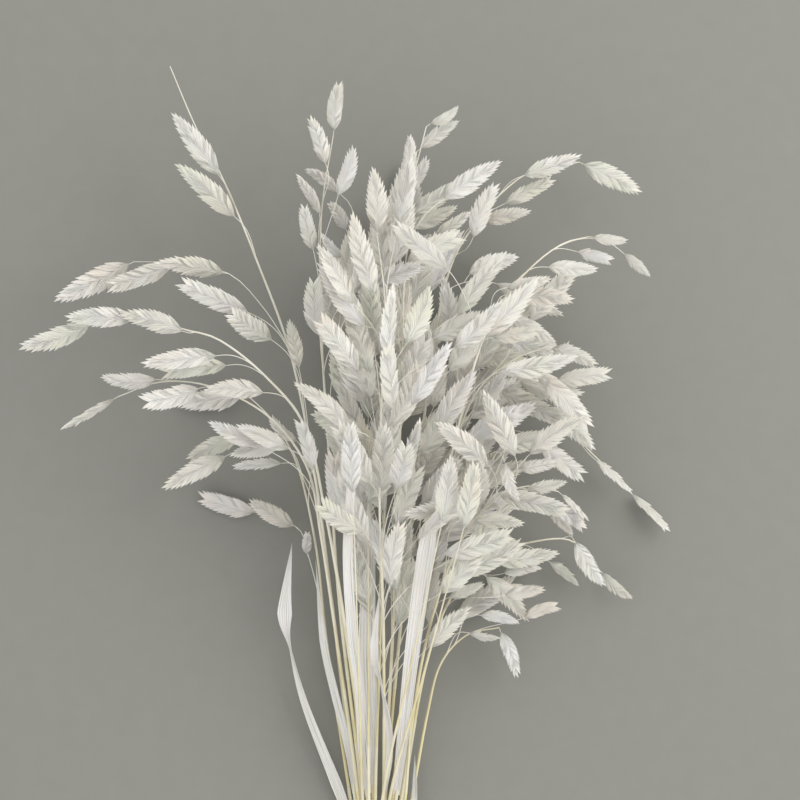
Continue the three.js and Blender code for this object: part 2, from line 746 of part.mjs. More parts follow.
// A branch bends off its culm, ends in one oat and carries the others on alternate sides.
function branchSolids(stem, part, curve, [place, x, y, z, oats], firstSide) {
  const { point: root, heading } = culmAt(curve, place);
  const steps = Math.max(2, oats);
  for (const lift of BRANCH_LIFTS) {
    const end = new THREE.Vector3(x, y, z + lift);
    const straight = end.clone().sub(root);
    const reach = straight.length() * BRANCH_REACH;
    const bend = root.clone().addScaledVector(straight.normalize().add(heading).normalize(), reach);
    const branch = new THREE.QuadraticBezierCurve3(root, bend, end);
    const points = branch.getPoints(steps);
    const boxes = stalkBoxes(stem, part, points, points.map(() => BRANCH_RADIUS));
    if (branchHasRoom(stem, boxes)) {
      placed.push(...boxes);
      const rings = points.map((point, step) => stalkRing(
        point,
        branch.getTangent(step / steps),
        lerp(BRANCH_RADIUS, BRANCH_TIP_RADIUS, step / steps),
      ));
      const ahead = branch.getTangent(1);
      const solids = [stalkWithOat(stem, part, rings, end, ahead, oatDraws(stem, 0))];
      for (let step = steps - 1; step > steps - oats; step -= 1) {
        const side = (steps - step) % 2 === 0 ? -firstSide : firstSide;
        const along = branch.getTangent(step / steps);
        solids.push(sideOat(stem, part, points[step], along, oatDraws(stem, side)));
      }
      return solids;
    }
  }
  return [];
}

// The culm itself. It ends bare, in an oat laid where the stem says or in one that goes on ahead.
function culmSolid(stem, rings, tip, ahead) {
  if (stem.bareTip) {
    return loft(rings);
  }
  return stem.tip
    ? stalkWithOat(stem, 'culm', rings, tip, levelWay(tip, stem.tip), laidDraws(stem, tip, stem.tip))
    : stalkWithOat(stem, 'culm', rings, tip, ahead, oatDraws(stem, 0));
}

// One leafy stem, with all that grows on it fused in one solid.
function leafyStem(stem, curve, leaf) {
  const stations = culmStations(curve);
  const rings = stations.map(({ point, heading, radius }) => stalkRing(point, heading, radius));
  const { point: tip, heading: ahead } = stations.at(-1);
  const culm = culmSolid(stem, rings, tip, ahead);
  const beside = (stem.oats ?? []).map(([place, side]) => {
    const { point, heading } = culmAt(curve, place);
    return sideOat(stem, 'culm', point, heading, oatDraws(stem, side));
  });
  const sprays = (stem.sprays ?? []).flatMap((spray, index) => (
    spraySolids(stem, `spray ${index}`, curve, spray)
  ));
  const branches = (stem.branches ?? []).flatMap((branch, index) => (
    branchSolids(stem, `branch ${index}`, curve, branch, index % 2 === 0 ? 1 : -1)
  ));
  const solids = [culm, ...beside, ...sprays, ...branches, leaf && leafSolid(leaf)];
  const solid = wasm.Manifold.union(solids.filter((each) => each)).getMesh();
  const geometry = new THREE.BufferGeometry();
  geometry.setAttribute('position', new THREE.BufferAttribute(solid.vertProperties, 3));
  geometry.setIndex(new THREE.BufferAttribute(solid.triVerts, 1));
  const material = new THREE.MeshStandardMaterial({
    color: stem.layer === 0 ? STRAW : BLEACHED,
    roughness: 0.82,
    metalness: 0,
    flatShading: true,
  });
  const mesh = new THREE.Mesh(geometry, material);
  mesh.name = stem.name;
  return mesh;
}

// Culms and leaves take their places first, and the branches and oats then find room among them.
const curves = STEMS.map(culmCurve);
const leaves = STEMS.map((stem, index) => stem.leaf && leafStations(curves[index], stem.leaf));
STEMS.forEach((stem, index) => {
  const stations = culmStations(curves[index]);
  placed.push(...stalkBoxes(
    stem,
    'culm',
    stations.map(({ point }) => point),
    stations.map(({ radius }) => radius),
  ));
  if (leaves[index]) {
    placed.push(...leafBoxes(stem, leaves[index]));
  }
});

const group = new THREE.Group();
STEMS.forEach((stem, index) => {
  group.add(leafyStem(stem, curves[index], leaves[index]));
});

export default group;
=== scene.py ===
import math

import bmesh
import bpy
import numpy as np
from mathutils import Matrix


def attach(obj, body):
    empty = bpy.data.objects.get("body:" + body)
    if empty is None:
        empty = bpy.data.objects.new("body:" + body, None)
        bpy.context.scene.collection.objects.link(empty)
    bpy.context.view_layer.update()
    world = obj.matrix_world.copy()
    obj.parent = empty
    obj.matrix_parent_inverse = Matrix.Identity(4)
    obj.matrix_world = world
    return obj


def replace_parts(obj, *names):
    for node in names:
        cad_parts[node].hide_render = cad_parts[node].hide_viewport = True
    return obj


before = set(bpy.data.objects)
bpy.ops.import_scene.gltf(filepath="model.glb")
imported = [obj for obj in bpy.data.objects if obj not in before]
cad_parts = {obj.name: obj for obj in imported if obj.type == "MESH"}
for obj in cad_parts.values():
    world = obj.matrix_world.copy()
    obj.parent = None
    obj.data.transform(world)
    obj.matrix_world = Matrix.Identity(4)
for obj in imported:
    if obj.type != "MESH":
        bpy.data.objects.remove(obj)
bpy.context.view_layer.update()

bpy.ops.object.select_all(action="DESELECT")

# The view. The bunch lies on a surface with its cut ends towards the viewer, and is looked at from straight
# above. The view is cut off above the hold, so that the seed heads fill it. Sizes in this script are
# millimetres, in the part's own frame, and MM turns them into metres where something is made.
MM = 0.001
VIEW_WIDTH = 432
VIEW_CENTRE = (11.9, 286.2)
VIEW_LEVEL = 50
CAMERA_HEIGHT = 2500
CAMERA_FAR_END = 20000
SENSOR = 36

lens = bpy.data.cameras.new("camera")
lens.sensor_width = SENSOR
lens.lens = SENSOR * (CAMERA_HEIGHT - VIEW_LEVEL) / VIEW_WIDTH
lens.clip_end = CAMERA_FAR_END * MM
camera = bpy.data.objects.new("camera", lens)
camera.location = (VIEW_CENTRE[0] * MM, VIEW_CENTRE[1] * MM, CAMERA_HEIGHT * MM)
bpy.context.collection.objects.link(camera)
bpy.context.scene.camera = camera

# The culms. Each is a thin round straw, swollen at its joints. The sheath of a leaf wraps it above each
# joint. Nothing ties them: they lie on each other in three layers where a hand would hold the bunch, and
# fan out from there.

# Each stem's layer and place in the bunch and its route, point by point. tip holds x and y that the point
# of the culm's last oat lies over, and how far that oat is rolled. oats holds (place along the culm, side),
# with side 1 on the left and -1 on the right. sprays holds (place, then for each oat on it x, y, z of its
# foot, x, y under its point and its roll). branches holds (place, x, y, z of the branch's end, oats on it).
# leaf holds where it leaves the culm, then (x, y, z, width, twist).
STEMS = [
    {
        "layer": 1, "place": -2.5, "bare_tip": True,
        "route": [
            (-13, 70, 7), (-25, 173, 22), (-34, 243, 34), (-47, 310, 45), (-66, 363, 52), (-83, 404, 55),
            (-98, 433, 56), (-112, 466, 56),
        ],
        "sprays": [
            (6.9, (-84, 405, 60, -111, 441)), (6.3, (-75, 383, 58, -110, 414)),
            (5.1, (-80, 354, 66, -123, 360), (-108, 360, 56, -147, 346), (-132, 361, 46, -176, 339)),
            (5, (-67, 332, 72, -108, 350)), (4.8, (-55, 317, 62, -88, 340)),
            (4.5, (-42, 301, 60, -48, 330)),
        ],
        "leaf": (2, [
            (-17, 98, 15, 4, 0), (-24, 127, 22, 4.4, 15), (-30, 156, 29, 4, 10), (-34, 200, 34, 0, 0),
        ]),
    },
    {
        "layer": 1, "place": -1.5, "is_upright": True, "tip": (-20, 458),
        "route": [
            (-9, 70, 11), (-21, 175, 32), (-27, 265, 46), (-30, 312, 52), (-31, 352, 58), (-30, 390, 62),
            (-24, 428, 64),
        ],
        "sprays": [
            (7.4, (-27, 410, 72, -37, 439)), (6.5, (-22, 393, 72, -13, 423)),
            (6.4, (-31, 383, 68, -27, 411)), (6, (-34, 364, 66, -40, 393)),
            (5.8, (-20, 397, 52, -40, 411)), (5.6, (-16, 376, 54, -29, 397)),
            (5.4, (-18, 361, 62, -33, 378)), (5, (-14, 340, 74, -7, 372)), (4.9, (-30, 340, 68, -27, 361)),
        ],
        "branches": [(4.5, -31, 318, 60, 2), (4, -19, 338, 48, 1)],
    },
    {
        "layer": 2, "place": -1, "tip": (-194, 314),
        "route": [
            (-6, 70, 18), (-18, 165, 48), (-28, 225, 64), (-39, 272, 76), (-60, 299, 84), (-84, 318, 86),
            (-104, 324, 84), (-128, 331, 76), (-152, 327, 66),
        ],
        "sprays": [
            (8, (-101, 322, 90, -138, 332)), (8.6, (-127, 330, 82, -167, 330)),
            (6.2, (-83, 310, 92, -126, 305)), (6, (-78, 305, 80, -118, 300)),
            (5.3, (-58, 290, 90, -93, 291)),
        ],
        "leaf": (2, [
            (-9, 98, 34, 4, 0), (-10, 128, 47, 5, 0), (-14, 165, 63, 5.6, 10),
            (-16, 205, 80, 5.4, -12), (-14, 240, 93, 4.6, 0), (-11, 272, 99, 0, 0),
        ]),
    },
    {
        "layer": 2, "place": -2, "tip": (-171, 270, 70),
        "route": [
            (-11, 70, 15.5), (-23, 160, 40), (-31, 215, 54), (-38, 250, 64), (-58, 277, 70),
            (-88, 293, 70), (-116, 296, 64), (-140, 288, 56),
        ],
        "sprays": [
            (7.8, (-116, 297, 68, -149, 299, 55)), (7, (-93, 293, 76, -133, 284)),
            (4.8, (-62, 261, 76, -91, 275)), (4.5, (-45, 259, 80, -76, 273)),
            (4.2, (-50, 262, 60, -81, 256), (-80, 257, 50, -117, 238)),
            (4.3, (-34, 246, 88, -43, 277, 20)),
        ],
    },
    {
        "layer": 0, "place": -3, "tip": (-112, 285),
        "route": [
            (-16, 70, 3), (-28, 150, 9), (-34, 205, 15), (-44, 250, 20), (-58, 275, 17), (-72, 289, 8),
        ],
        "sprays": [
            (3.2, (-38, 200, 16, -50, 216), (-44, 216, 14, -72, 232), (-65, 224, 5, -100, 234)),
            (5, (-50, 252, 34, -80, 250, 50)), (5.5, (-74, 266, 40, -104, 253)),
            (4.8, (-42, 262, 40, -59, 278)),
        ],
        "leaf": (1.5, [
            (-23, 75, 7, 6, 0), (-40, 119, 14, 4, 10), (-48, 150, 20, 2.6, 70),
            (-51, 170, 24, 8.4, 12), (-47, 208, 25, 0, 0),
        ]),
    },
    {
        "layer": 0, "place": -2, "is_upright": True,
        "route": [(-10, 70, 3), (-14, 160, 9), (-14, 240, 13), (-12, 300, 13), (-6, 345, 9), (4, 372, 3)],
        "oats": [(6.5, 1), (6, -1), (5.5, 1)],
        "branches": [
            (5, -16, 330, 18, 2), (4, -20, 285, 24, 2), (4, 8, 300, 22, 2), (5, 16, 345, 16, 2),
            (3.5, 2, 256, 24, 1),
        ],
    },
    {
        "layer": 2, "place": 0, "is_upright": True,
        "route": [(3, 70, 20), (3, 160, 54), (1, 230, 80), (2, 285, 96), (4, 335, 106), (0, 372, 106)],
        "branches": [
            (5.5, -11, 335, 116, 2), (5, -8, 300, 112, 3), (5, 14, 314, 114, 2), (4.5, -12, 270, 104, 3),
            (4.5, 16, 282, 108, 3), (6, 10, 372, 108, 2), (4, -2, 240, 98, 3), (3.5, 12, 236, 90, 2),
            (3.5, -6, 214, 84, 2),
        ],
        "leaf": (2, [
            (6, 90, 34, 3.4, 0), (6, 108, 45, 4, 30), (2, 132, 57, 3.6, 80), (-2, 150, 65, 5, 20),
            (1, 184, 75, 0, 0),
        ]),
    },
    {
        "layer": 0, "place": -1, "is_upright": True, "tip": (44, 445),
        "route": [
            (-3, 70, 4), (0, 160, 20), (5, 250, 38), (8, 315, 52), (11, 352, 60), (16, 392, 64),
            (26, 433, 64),
        ],
        "oats": [(6.5, -1)],
        "sprays": [
            (7.6, (21, 420, 58, 44, 437)), (7, (15, 402, 74, 17, 429)), (6.8, (13, 397, 51, 27, 418)),
            (6, (0, 386, 60, -4, 405)), (5.8, (1, 361, 76, 4, 396)),
        ],
        "branches": [
            (5, 25, 342, 44, 2), (5, -8, 350, 70, 3), (4, 16, 290, 54, 3), (4, -7, 305, 62, 3),
            (3.5, -12, 246, 46, 2), (4, 18, 262, 56, 2),
        ],
        "leaf": (2, [
            (-4, 105, 17, 7, 0), (-6, 151, 30, 9.6, -10), (-5, 200, 43, 7, 10), (-5, 236, 52, 0, 0),
        ]),
    },
    {
        "layer": 1, "place": -0.5, "is_upright": True, "tip": (45, 403),
        "route": [(3, 70, 12), (8, 160, 36), (11, 240, 60), (13, 300, 74), (14, 345, 82), (17, 384, 86)],
        "sprays": [
            (6, (33, 391, 100, 66, 413)), (6.5, (15, 377, 78, 43, 390)), (6.3, (29, 373, 84, 50, 387)),
            (6.1, (15, 366, 74, 29, 375)), (6, (13, 357, 94, 47, 374)), (5.6, (-4, 346, 88, 30, 359)),
        ],
        "branches": [
            (5, 7, 345, 90, 1), (5, 40, 330, 84, 2), (4.5, 36, 300, 80, 2), (4, 30, 268, 80, 2),
            (3.5, 22, 228, 66, 2), (3.5, 8, 250, 74, 2),
        ],
    },
    {
        "layer": 0, "place": 0, "tip": (143, 398),
        "route": [
            (4, 70, 4), (12, 160, 14), (23, 260, 28), (35, 343, 42), (50, 378, 50), (78, 407, 52),
            (109, 415, 44),
        ],
        "sprays": [
            (6.9, (76, 406, 60, 110, 418)), (6.5, (66, 391, 50, 96, 406)), (5.8, (50, 371, 64, 65, 404)),
            (5.9, (55, 382, 54, 84, 388)),
        ],
        "branches": [(5, 62, 350, 36, 2), (4.5, 60, 320, 30, 2)],
    },
    {
        "layer": 2, "place": 1, "tip": (134, 371),
        "route": [
            (10, 70, 16), (22, 165, 46), (38, 250, 74), (53, 310, 88), (66, 338, 94), (82, 357, 96),
            (98, 369, 94), (112, 373, 88),
        ],
        "sprays": [
            (7.5, (130, 366, 78, 146, 352)), (7.6, (104, 366, 78, 127, 360)),
            (6.5, (88, 357, 86, 119, 356)), (6, (69, 342, 84, 106, 339)), (5.8, (66, 345, 102, 93, 351)),
            (5.5, (69, 332, 78, 96, 316)),
        ],
        "branches": [(4.5, 62, 300, 96, 2), (4, 46, 262, 90, 2), (5, 56, 318, 104, 1)],
        "leaf": (2, [
            (13, 100, 34, 6, 0), (19, 155, 56, 8.4, 15), (26, 205, 72, 9.6, 0), (33, 248, 83, 0, 0),
        ]),
    },
    {
        "layer": 1, "place": 0.5, "tip": (119, 304),
        "route": [(8, 70, 9), (18, 160, 26), (32, 230, 44), (50, 285, 58), (70, 306, 64), (91, 315, 62)],
        "sprays": [
            (5.9, (94, 296, 52, 128, 301)), (5.4, (59, 319, 82, 87, 324)), (5, (69, 286, 48, 92, 277)),
        ],
        "branches": [
            (5.5, 80, 326, 72, 2), (5, 74, 296, 52, 2), (4.5, 52, 300, 48, 3), (3.5, 34, 214, 56, 2),
            (4, 62, 258, 60, 2), (3.5, 46, 238, 42, 2), (3, 28, 192, 42, 1), (4.5, 42, 308, 66, 1),
        ],
    },
    {
        "layer": 0, "place": 1, "tip": (160, 213, 60),
        "route": [
            (9, 70, 3), (18, 150, 9), (34, 215, 16), (58, 262, 22), (88, 282, 23), (117, 257, 14),
            (138, 236, 5),
        ],
        "sprays": [
            (6.9, (117, 255, 22, 139, 235, 60)), (5.9, (90, 284, 32, 119, 258)),
            (5.4, (85, 265, 40, 114, 243)), (5.2, (60, 275, 52, 90, 267, 40)),
        ],
        "branches": [(5, 78, 290, 16, 2)],
    },
    {
        "layer": 1, "place": 1.5, "tip": (114, 221, 65),
        "route": [(13, 70, 10), (25, 150, 34), (42, 205, 54), (62, 232, 66), (80, 240, 68), (97, 237, 62)],
        "sprays": [
            (5.9, (90, 232, 56, 113, 215)), (5.8, (90, 229, 46, 106, 212)), (5.2, (77, 238, 76, 102, 243)),
            (5, (74, 248, 68, 98, 253)), (4.8, (67, 255, 84, 76, 231)), (4.6, (65, 256, 78, 53, 238)),
            (4.5, (55, 231, 50, 93, 231)), (4, (49, 222, 76, 79, 220)), (3.8, (54, 213, 48, 77, 208)),
            (2.8, (25, 150, 42, 51, 175)),
        ],
        "branches": [(5, 60, 250, 84, 2), (4.5, 50, 228, 78, 2), (3.5, 40, 190, 52, 1)],
    },
    {
        "layer": 0, "place": 2, "tip": (140, 177),
        "route": [
            (14, 70, 3), (26, 140, 9), (42, 182, 16), (64, 202, 22), (92, 210, 22), (108, 208, 18),
            (121, 193, 10),
        ],
        "sprays": [
            (6.8, (106, 211, 26, 124, 184, 15)), (5.8, (92, 199, 14, 110, 184, -20)),
            (4.8, (60, 199, 42, 102, 203)), (4.6, (66, 191, 24, 94, 197, 0)),
            (4.3, (57, 192, 30, 82, 165, 10)), (4, (66, 180, 40, 91, 184, 10)),
            (3.8, (36, 178, 38, 58, 187, -12)),
        ],
    },
    {
        "layer": 0, "place": 3, "tip": (76, 134),
        "route": [(19, 70, 6), (27, 115, 16), (34, 142, 24), (48, 158, 28), (66, 162, 24)],
        "sprays": [
            (5.5, (77, 167, 34, 100, 174)), (4.9, (53, 170, 40, 77, 165)), (4.6, (47, 160, 34, 67, 157)),
        ],
        "leaf": (1.5, [(19, 60, 10, 3, 0), (20, 74, 13, 3, 30), (20, 92, 15, 0, 0)]),
    },
]
CULM_ROOM = 1.5
CULM_TIP_ROOM = 0.7
CULM_REST = CULM_ROOM * math.cos(math.pi / 4)
CULM_SPACING = 2.95
LAYER_RISE = 2.45
CUT_END_Y = -124
CUT_STAGGER = 2.5
CUT_END_SPREAD = 1.4
HOLD_Y = 10
TAPER_START = 2
TANGENT_STEP = 0.0001
CULM_RADIUS = 1.02
CULM_TIP_SHARE = 0.26
CULM_SIDES = 12
CULM_CUTS = 96
GUIDE_STEPS = 12
JOINT_FIRST = 52
JOINT_STAGGER = 19
JOINT_SPACING = 96
JOINT_LAST_SHARE = 0.62
JOINT_LENGTH = 1.6
JOINT_SWELL = 1.16
SHEATH_SHARE = 0.62
SHEATH_SWELL = 1.1
SHEATH_EDGE = 0.3
STRAW_WALL = 0.45
STRAW_HOLLOW = 3
SMOOTH_ANGLE = math.radians(40)


def unit(vector):
    return vector / math.sqrt(vector @ vector)


def lerp(low, high, share):
    return low + (high - low) * share


def smooth_route(points):
    """A smooth route through points, as a function of the share of the way along them."""
    last = len(points) - 1

    def at(share):
        step = min(math.floor(last * share), last - 1)
        weight = last * share - step
        start, end = points[step], points[step + 1]
        before = points[step - 1] if step > 0 else 2 * start - end
        after = points[step + 2] if step + 2 <= last else 2 * end - start
        leaving, arriving = (end - before) / 2, (after - start) / 2
        return (
            start
            + leaving * weight
            + (3 * (end - start) - 2 * leaving - arriving) * weight ** 2
            + (2 * (start - end) + leaving + arriving) * weight ** 3
        )

    return at


def heading_at(route, share):
    return unit(route(min(1, share + TANGENT_STEP)) - route(max(0, share - TANGENT_STEP)))


def culm_foot(layer, place, index):
    """A culm's cut end and its point in the hold."""
    x = place * CULM_SPACING
    z = CULM_REST + layer * LAYER_RISE
    return (x * CUT_END_SPREAD, CUT_END_Y - CUT_STAGGER * (index % 5), z), (x, HOLD_Y, z)


def culm_points(index):
    """The points of a culm's route, from its cut end through the hold and on."""
    stem = STEMS[index]
    return np.array([*culm_foot(stem["layer"], stem["place"], index), *stem["route"]], float)


def culm_at(index, place):
    """Where a culm is, where it heads, and how much room it takes, at one place along its route."""
    points = culm_points(index)
    last = len(points) - 1
    route = smooth_route(points)
    share = min(1, max(0, (place - TAPER_START) / (last - TAPER_START)))
    heading = unit(points[1] - points[0]) if place <= 1 else heading_at(route, place / last)
    return route(place / last), heading, lerp(CULM_ROOM, CULM_TIP_ROOM, share)


def thread(name, routes, thickness=0):
    """A curve object with one spline per route. A route is a list of (point, radius, tilt)."""
    curve = bpy.data.curves.new(name, "CURVE")
    curve.dimensions = "3D"
    curve.twist_mode = "Z_UP"
    curve.bevel_depth = thickness
    curve.bevel_resolution = 2
    curve.use_fill_caps = True
    for route in routes:
        spline = curve.splines.new("POLY")
        spline.points.add(len(route) - 1)
        for knot, (point, radius, tilt) in zip(spline.points, route):
            knot.co = (*(point * MM), 1)
            knot.radius = radius
            knot.tilt = tilt
    made = bpy.data.objects.new(name, curve)
    bpy.context.collection.objects.link(made)
    return made


def work_on(*pieces):
    """Leaves object mode's selection on these pieces alone, with the first one active."""
    bpy.ops.object.select_all(action="DESELECT")
    for piece in pieces:
        piece.select_set(True)
    bpy.context.view_layer.objects.active = pieces[0]


def pick(kind, test):
    """Selects, in edit mode, the points, edges or faces that pass a test."""
    bpy.ops.mesh.select_mode(type=kind)
    bpy.ops.mesh.select_all(action="DESELECT")
    data = bpy.context.object.data
    mesh = bmesh.from_edit_mesh(data)
    items = {"VERT": mesh.verts, "EDGE": mesh.edges, "FACE": mesh.faces}[kind]
    for item in items:
        if test(item):
            item.select_set(True)
    bmesh.update_edit_mesh(data)


def bend_along(piece, route):
    """Bends a piece that lies along +X so that it follows a route, with the route's radius and tilt."""
    guide = thread("guide", [route])
    work_on(piece)
    bend = piece.modifiers.new("bend", "CURVE")
    bend.object = guide
    bend.deform_axis = "POS_X"
    bpy.ops.object.modifier_apply(modifier=bend.name)
    curve = guide.data
    bpy.data.objects.remove(guide)
    bpy.data.curves.remove(curve)


def route_length(route):
    return sum(math.dist(a[0], b[0]) for a, b in zip(route, route[1:]))


def straight_culm(length, joints):
    """A straight jointed straw along +X, hollow at its cut end. joints holds [middle, sheath's end]."""
    bpy.ops.mesh.primitive_cylinder_add(
        vertices=CULM_SIDES,
        radius=CULM_RADIUS * MM,
        depth=length * MM,
        location=(length * MM / 2, 0, 0),
        rotation=(0, math.pi / 2, 0),
    )
    bpy.ops.object.transform_apply()
    culm = bpy.context.object
    bpy.ops.object.mode_set(mode="EDIT")
    pick("EDGE", lambda edge: abs(edge.verts[0].co.x - edge.verts[1].co.x) > length * MM / 2)
    bpy.ops.mesh.subdivide(number_cuts=CULM_CUTS)
    for middle, end in joints:
        half = JOINT_LENGTH / 2
        for x in (middle - half, middle, middle + half, end - SHEATH_EDGE, end + SHEATH_EDGE):
            bpy.ops.mesh.select_all(action="SELECT")
            bpy.ops.mesh.bisect(plane_co=(x * MM, 0, 0), plane_no=(1, 0, 0))
        pick("VERT", lambda point: middle + 0.1 < point.co.x / MM < end)
        bpy.ops.transform.resize(value=(1, SHEATH_SWELL, SHEATH_SWELL), center_override=(0, 0, 0))
        pick("VERT", lambda point: abs(point.co.x / MM - middle) < 0.1)
        bpy.ops.transform.resize(value=(1, JOINT_SWELL, JOINT_SWELL), center_override=(0, 0, 0))
    pick("FACE", lambda face: face.normal.x < -0.9 and face.calc_center_median().x < MM)
    bpy.ops.mesh.inset(thickness=STRAW_WALL * MM)
    bpy.ops.mesh.extrude_region_move(TRANSFORM_OT_translate={"value": (STRAW_HOLLOW * MM, 0, 0)})
    bpy.ops.object.mode_set(mode="OBJECT")
    sheath = culm.data.attributes.new("sheath", "FLOAT", "POINT")
    for point, value in zip(culm.data.vertices, sheath.data):
        value.value = any(middle < point.co.x / MM < end for middle, end in joints)
    bpy.ops.object.shade_smooth_by_angle(angle=SMOOTH_ANGLE)
    return culm


def make_culm(points, index):
    """A culm along its route, clear of the floor. The joints of each culm are at other heights."""
    last = len(points) - 1
    smooth = smooth_route(points)
    route = []
    for step in range(last * GUIDE_STEPS + 1):
        share = step / (last * GUIDE_STEPS)
        x, y, z = smooth(share)
        point = np.array([x, y, max(z, CULM_RADIUS * JOINT_SWELL)])
        route.append((point, lerp(1, CULM_TIP_SHARE, max(0, share * last - 1) / (last - 1)), 0))
    length = route_length(route)
    middles = np.arange(JOINT_FIRST + JOINT_STAGGER * (index % 4), JOINT_LAST_SHARE * length, JOINT_SPACING)
    culm = straight_culm(length, [(middle, middle + JOINT_SPACING * SHEATH_SHARE) for middle in middles])
    bend_along(culm, route)
    return culm


class Signal:
    """A value at a socket of a finish. An expression on signals adds its Math nodes."""

    def __init__(self, finish, socket):
        self.finish = finish
        self.socket = socket

    def maths(self, operation, *values):
        return self.finish.add("ShaderNodeMath", {"operation": operation}, dict(enumerate(values)))

    def __add__(self, other):
        return self.maths("ADD", self, other)

    def __radd__(self, other):
        return self.maths("ADD", other, self)

    def __sub__(self, other):
        return self.maths("SUBTRACT", self, other)

    def __rsub__(self, other):
        return self.maths("SUBTRACT", other, self)

    def __mul__(self, other):
        return self.maths("MULTIPLY", self, other)

    def __rmul__(self, other):
        return self.maths("MULTIPLY", other, self)

    def __pow__(self, other):
        return self.maths("POWER", self, other)

    def sine(self):
        return self.maths("SINE", self)

    def kept(self):
        """The value, kept between 0 and 1."""
        return self.finish.add("ShaderNodeClamp", {}, {0: self})


class Finish:
    """A material. add() adds a node and gives one of its outputs as a signal."""

    def __init__(self, name):
        self.material = bpy.data.materials.new(name)
        self.material.use_nodes = True
        self.tree = self.material.node_tree
        self.shader = self.tree.nodes["Principled BSDF"]

    def add(self, kind, settings, values, output=0):
        node = self.tree.nodes.new(kind)
        for name, setting in settings.items():
            if name == "stops":
                ramp = node.color_ramp.elements
                while len(ramp) < len(setting):
                    ramp.new(1)
                for stop, (place, colour) in zip(ramp, setting):
                    stop.position = place
                    stop.color = (*colour, 1)
            else:
                setattr(node, name, setting)
        for name, value in values.items():
            self.feed(node.inputs[name], value)
        return Signal(self, node.outputs[output])

    def feed(self, socket, value):
        if isinstance(value, Signal):
            self.tree.links.new(value.socket, socket)
        else:
            socket.default_value = value

    def set(self, **values):
        """Feeds the shader's sockets, named in lower case with underscores."""
        for name, value in values.items():
            self.feed(self.shader.inputs[name.replace("_", " ").title()], value)

    def attribute(self, name):
        return self.add("ShaderNodeAttribute", {"attribute_name": name}, {}, "Fac")

    def uv(self):
        """The two coordinates of the piece's own UV map."""
        uv = self.add("ShaderNodeUVMap", {"uv_map": "UVMap"}, {})
        return (
            self.add("ShaderNodeSeparateXYZ", {}, {0: uv}, "X"),
            self.add("ShaderNodeSeparateXYZ", {}, {0: uv}, "Y"),
        )

    def place(self):
        """Object coordinates, in metres."""
        return self.add("ShaderNodeTexCoord", {}, {}, "Object")

    def vector(self, x, y, z):
        return self.add("ShaderNodeCombineXYZ", {}, {0: x, 1: y, 2: z})

    def noise(self, vector, scale, detail=2):
        return self.add("ShaderNodeTexNoise", {}, {"Vector": vector, "Scale": scale, "Detail": detail})

    def ramp(self, value, stops):
        return self.add("ShaderNodeValToRGB", {"stops": stops}, {0: value}, "Color")

    def mix(self, factor, low, high, how="MIX"):
        """A colour between two, or the first one changed by the second one as how says."""
        ends = [end if isinstance(end, Signal) else (*end, 1) for end in (low, high)]
        settings = {"data_type": "RGBA", "blend_type": how}
        return self.add("ShaderNodeMix", settings, {0: factor, 6: ends[0], 7: ends[1]}, 2)

    def bump(self, height, distance):
        return self.add("ShaderNodeBump", {}, {"Height": height, "Distance": distance})


STRAW_FOOT_COLOUR = (0.77, 0.7, 0.43)
STRAW_TOP_COLOUR = (0.78, 0.765, 0.69)
STRAW_TOP_START = 110
STRAW_TOP_FADE = 125
SHEATH_COLOUR = (0.79, 0.765, 0.65)
BRANCH_COLOUR = (0.8, 0.79, 0.74)
FIBRE_SHADE = (0.84, 0.81, 0.72)
STAIN_COLOUR = (0.5, 0.43, 0.24)

culm_finish = Finish("dry straw")
x, y = culm_finish.uv()
height = culm_finish.add("ShaderNodeSeparateXYZ", {}, {0: culm_finish.place()}, "Y")
sheath = culm_finish.attribute("sheath")
branch = culm_finish.attribute("branch")
fibres = culm_finish.noise(culm_finish.vector(x * 60, y * 3, 0), 1, 3)
patches = culm_finish.noise(culm_finish.place(), 60)
upper = ((height - STRAW_TOP_START * MM) * (1 / (STRAW_TOP_FADE * MM))).kept()
colour = culm_finish.mix(upper, STRAW_FOOT_COLOUR, STRAW_TOP_COLOUR)
colour = culm_finish.mix(sheath * 0.6, colour, SHEATH_COLOUR)
colour = culm_finish.mix(branch, colour, BRANCH_COLOUR)
colour = culm_finish.mix(fibres * 0.5, colour, FIBRE_SHADE, "MULTIPLY")
colour = culm_finish.mix((patches - 0.45).kept() * 1.4, colour, STAIN_COLOUR)
culm_finish.set(
    base_color=colour,
    roughness=0.42 + fibres * 0.2 + sheath * 0.12,
    normal=culm_finish.bump(fibres, 0.00008),
)


def finish_culm(culm, name):
    culm.name = name
    culm.data.materials.clear()
    culm.data.materials.append(culm_finish.material)
    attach(culm, "root")


culms = []
for index in range(len(STEMS)):
    culm = make_culm(culm_points(index), index)
    finish_culm(culm, f"culm_{index + 1:02}")
    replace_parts(culm, f"leafy_stem_{index + 1:02}")
    culms.append(culm)

# The leaves. Seven stems keep a leaf: a thin dry ribbon with raised ribs along it, folded a little down its
# middle, that leaves the culm at the end of its sheath, twists on its way and ends in a point.
LEAF_ROOM = 0.9
LEAF_ROOT_SHARE = 0.6
LEAF_THICKNESS = 0.3
LEAF_RIBS = 6
LEAF_RIB_HEIGHT = 0.028
LEAF_FOLD = 0.1
LEAF_SPACING = 3
LEAF_STEPS = 10
LEAF_TIP = 0.03
LEAF_COLOURS = [
    (0.33, (0.52, 0.52, 0.47)),
    (0.45, (0.76, 0.75, 0.735)),
    (0.6, (0.83, 0.825, 0.83)),
    (0.75, (0.66, 0.645, 0.57)),
]
LEAF_RIB_SHADE = (0.77, 0.76, 0.73)
LEAF_STAIN_COLOUR = (0.62, 0.58, 0.46)


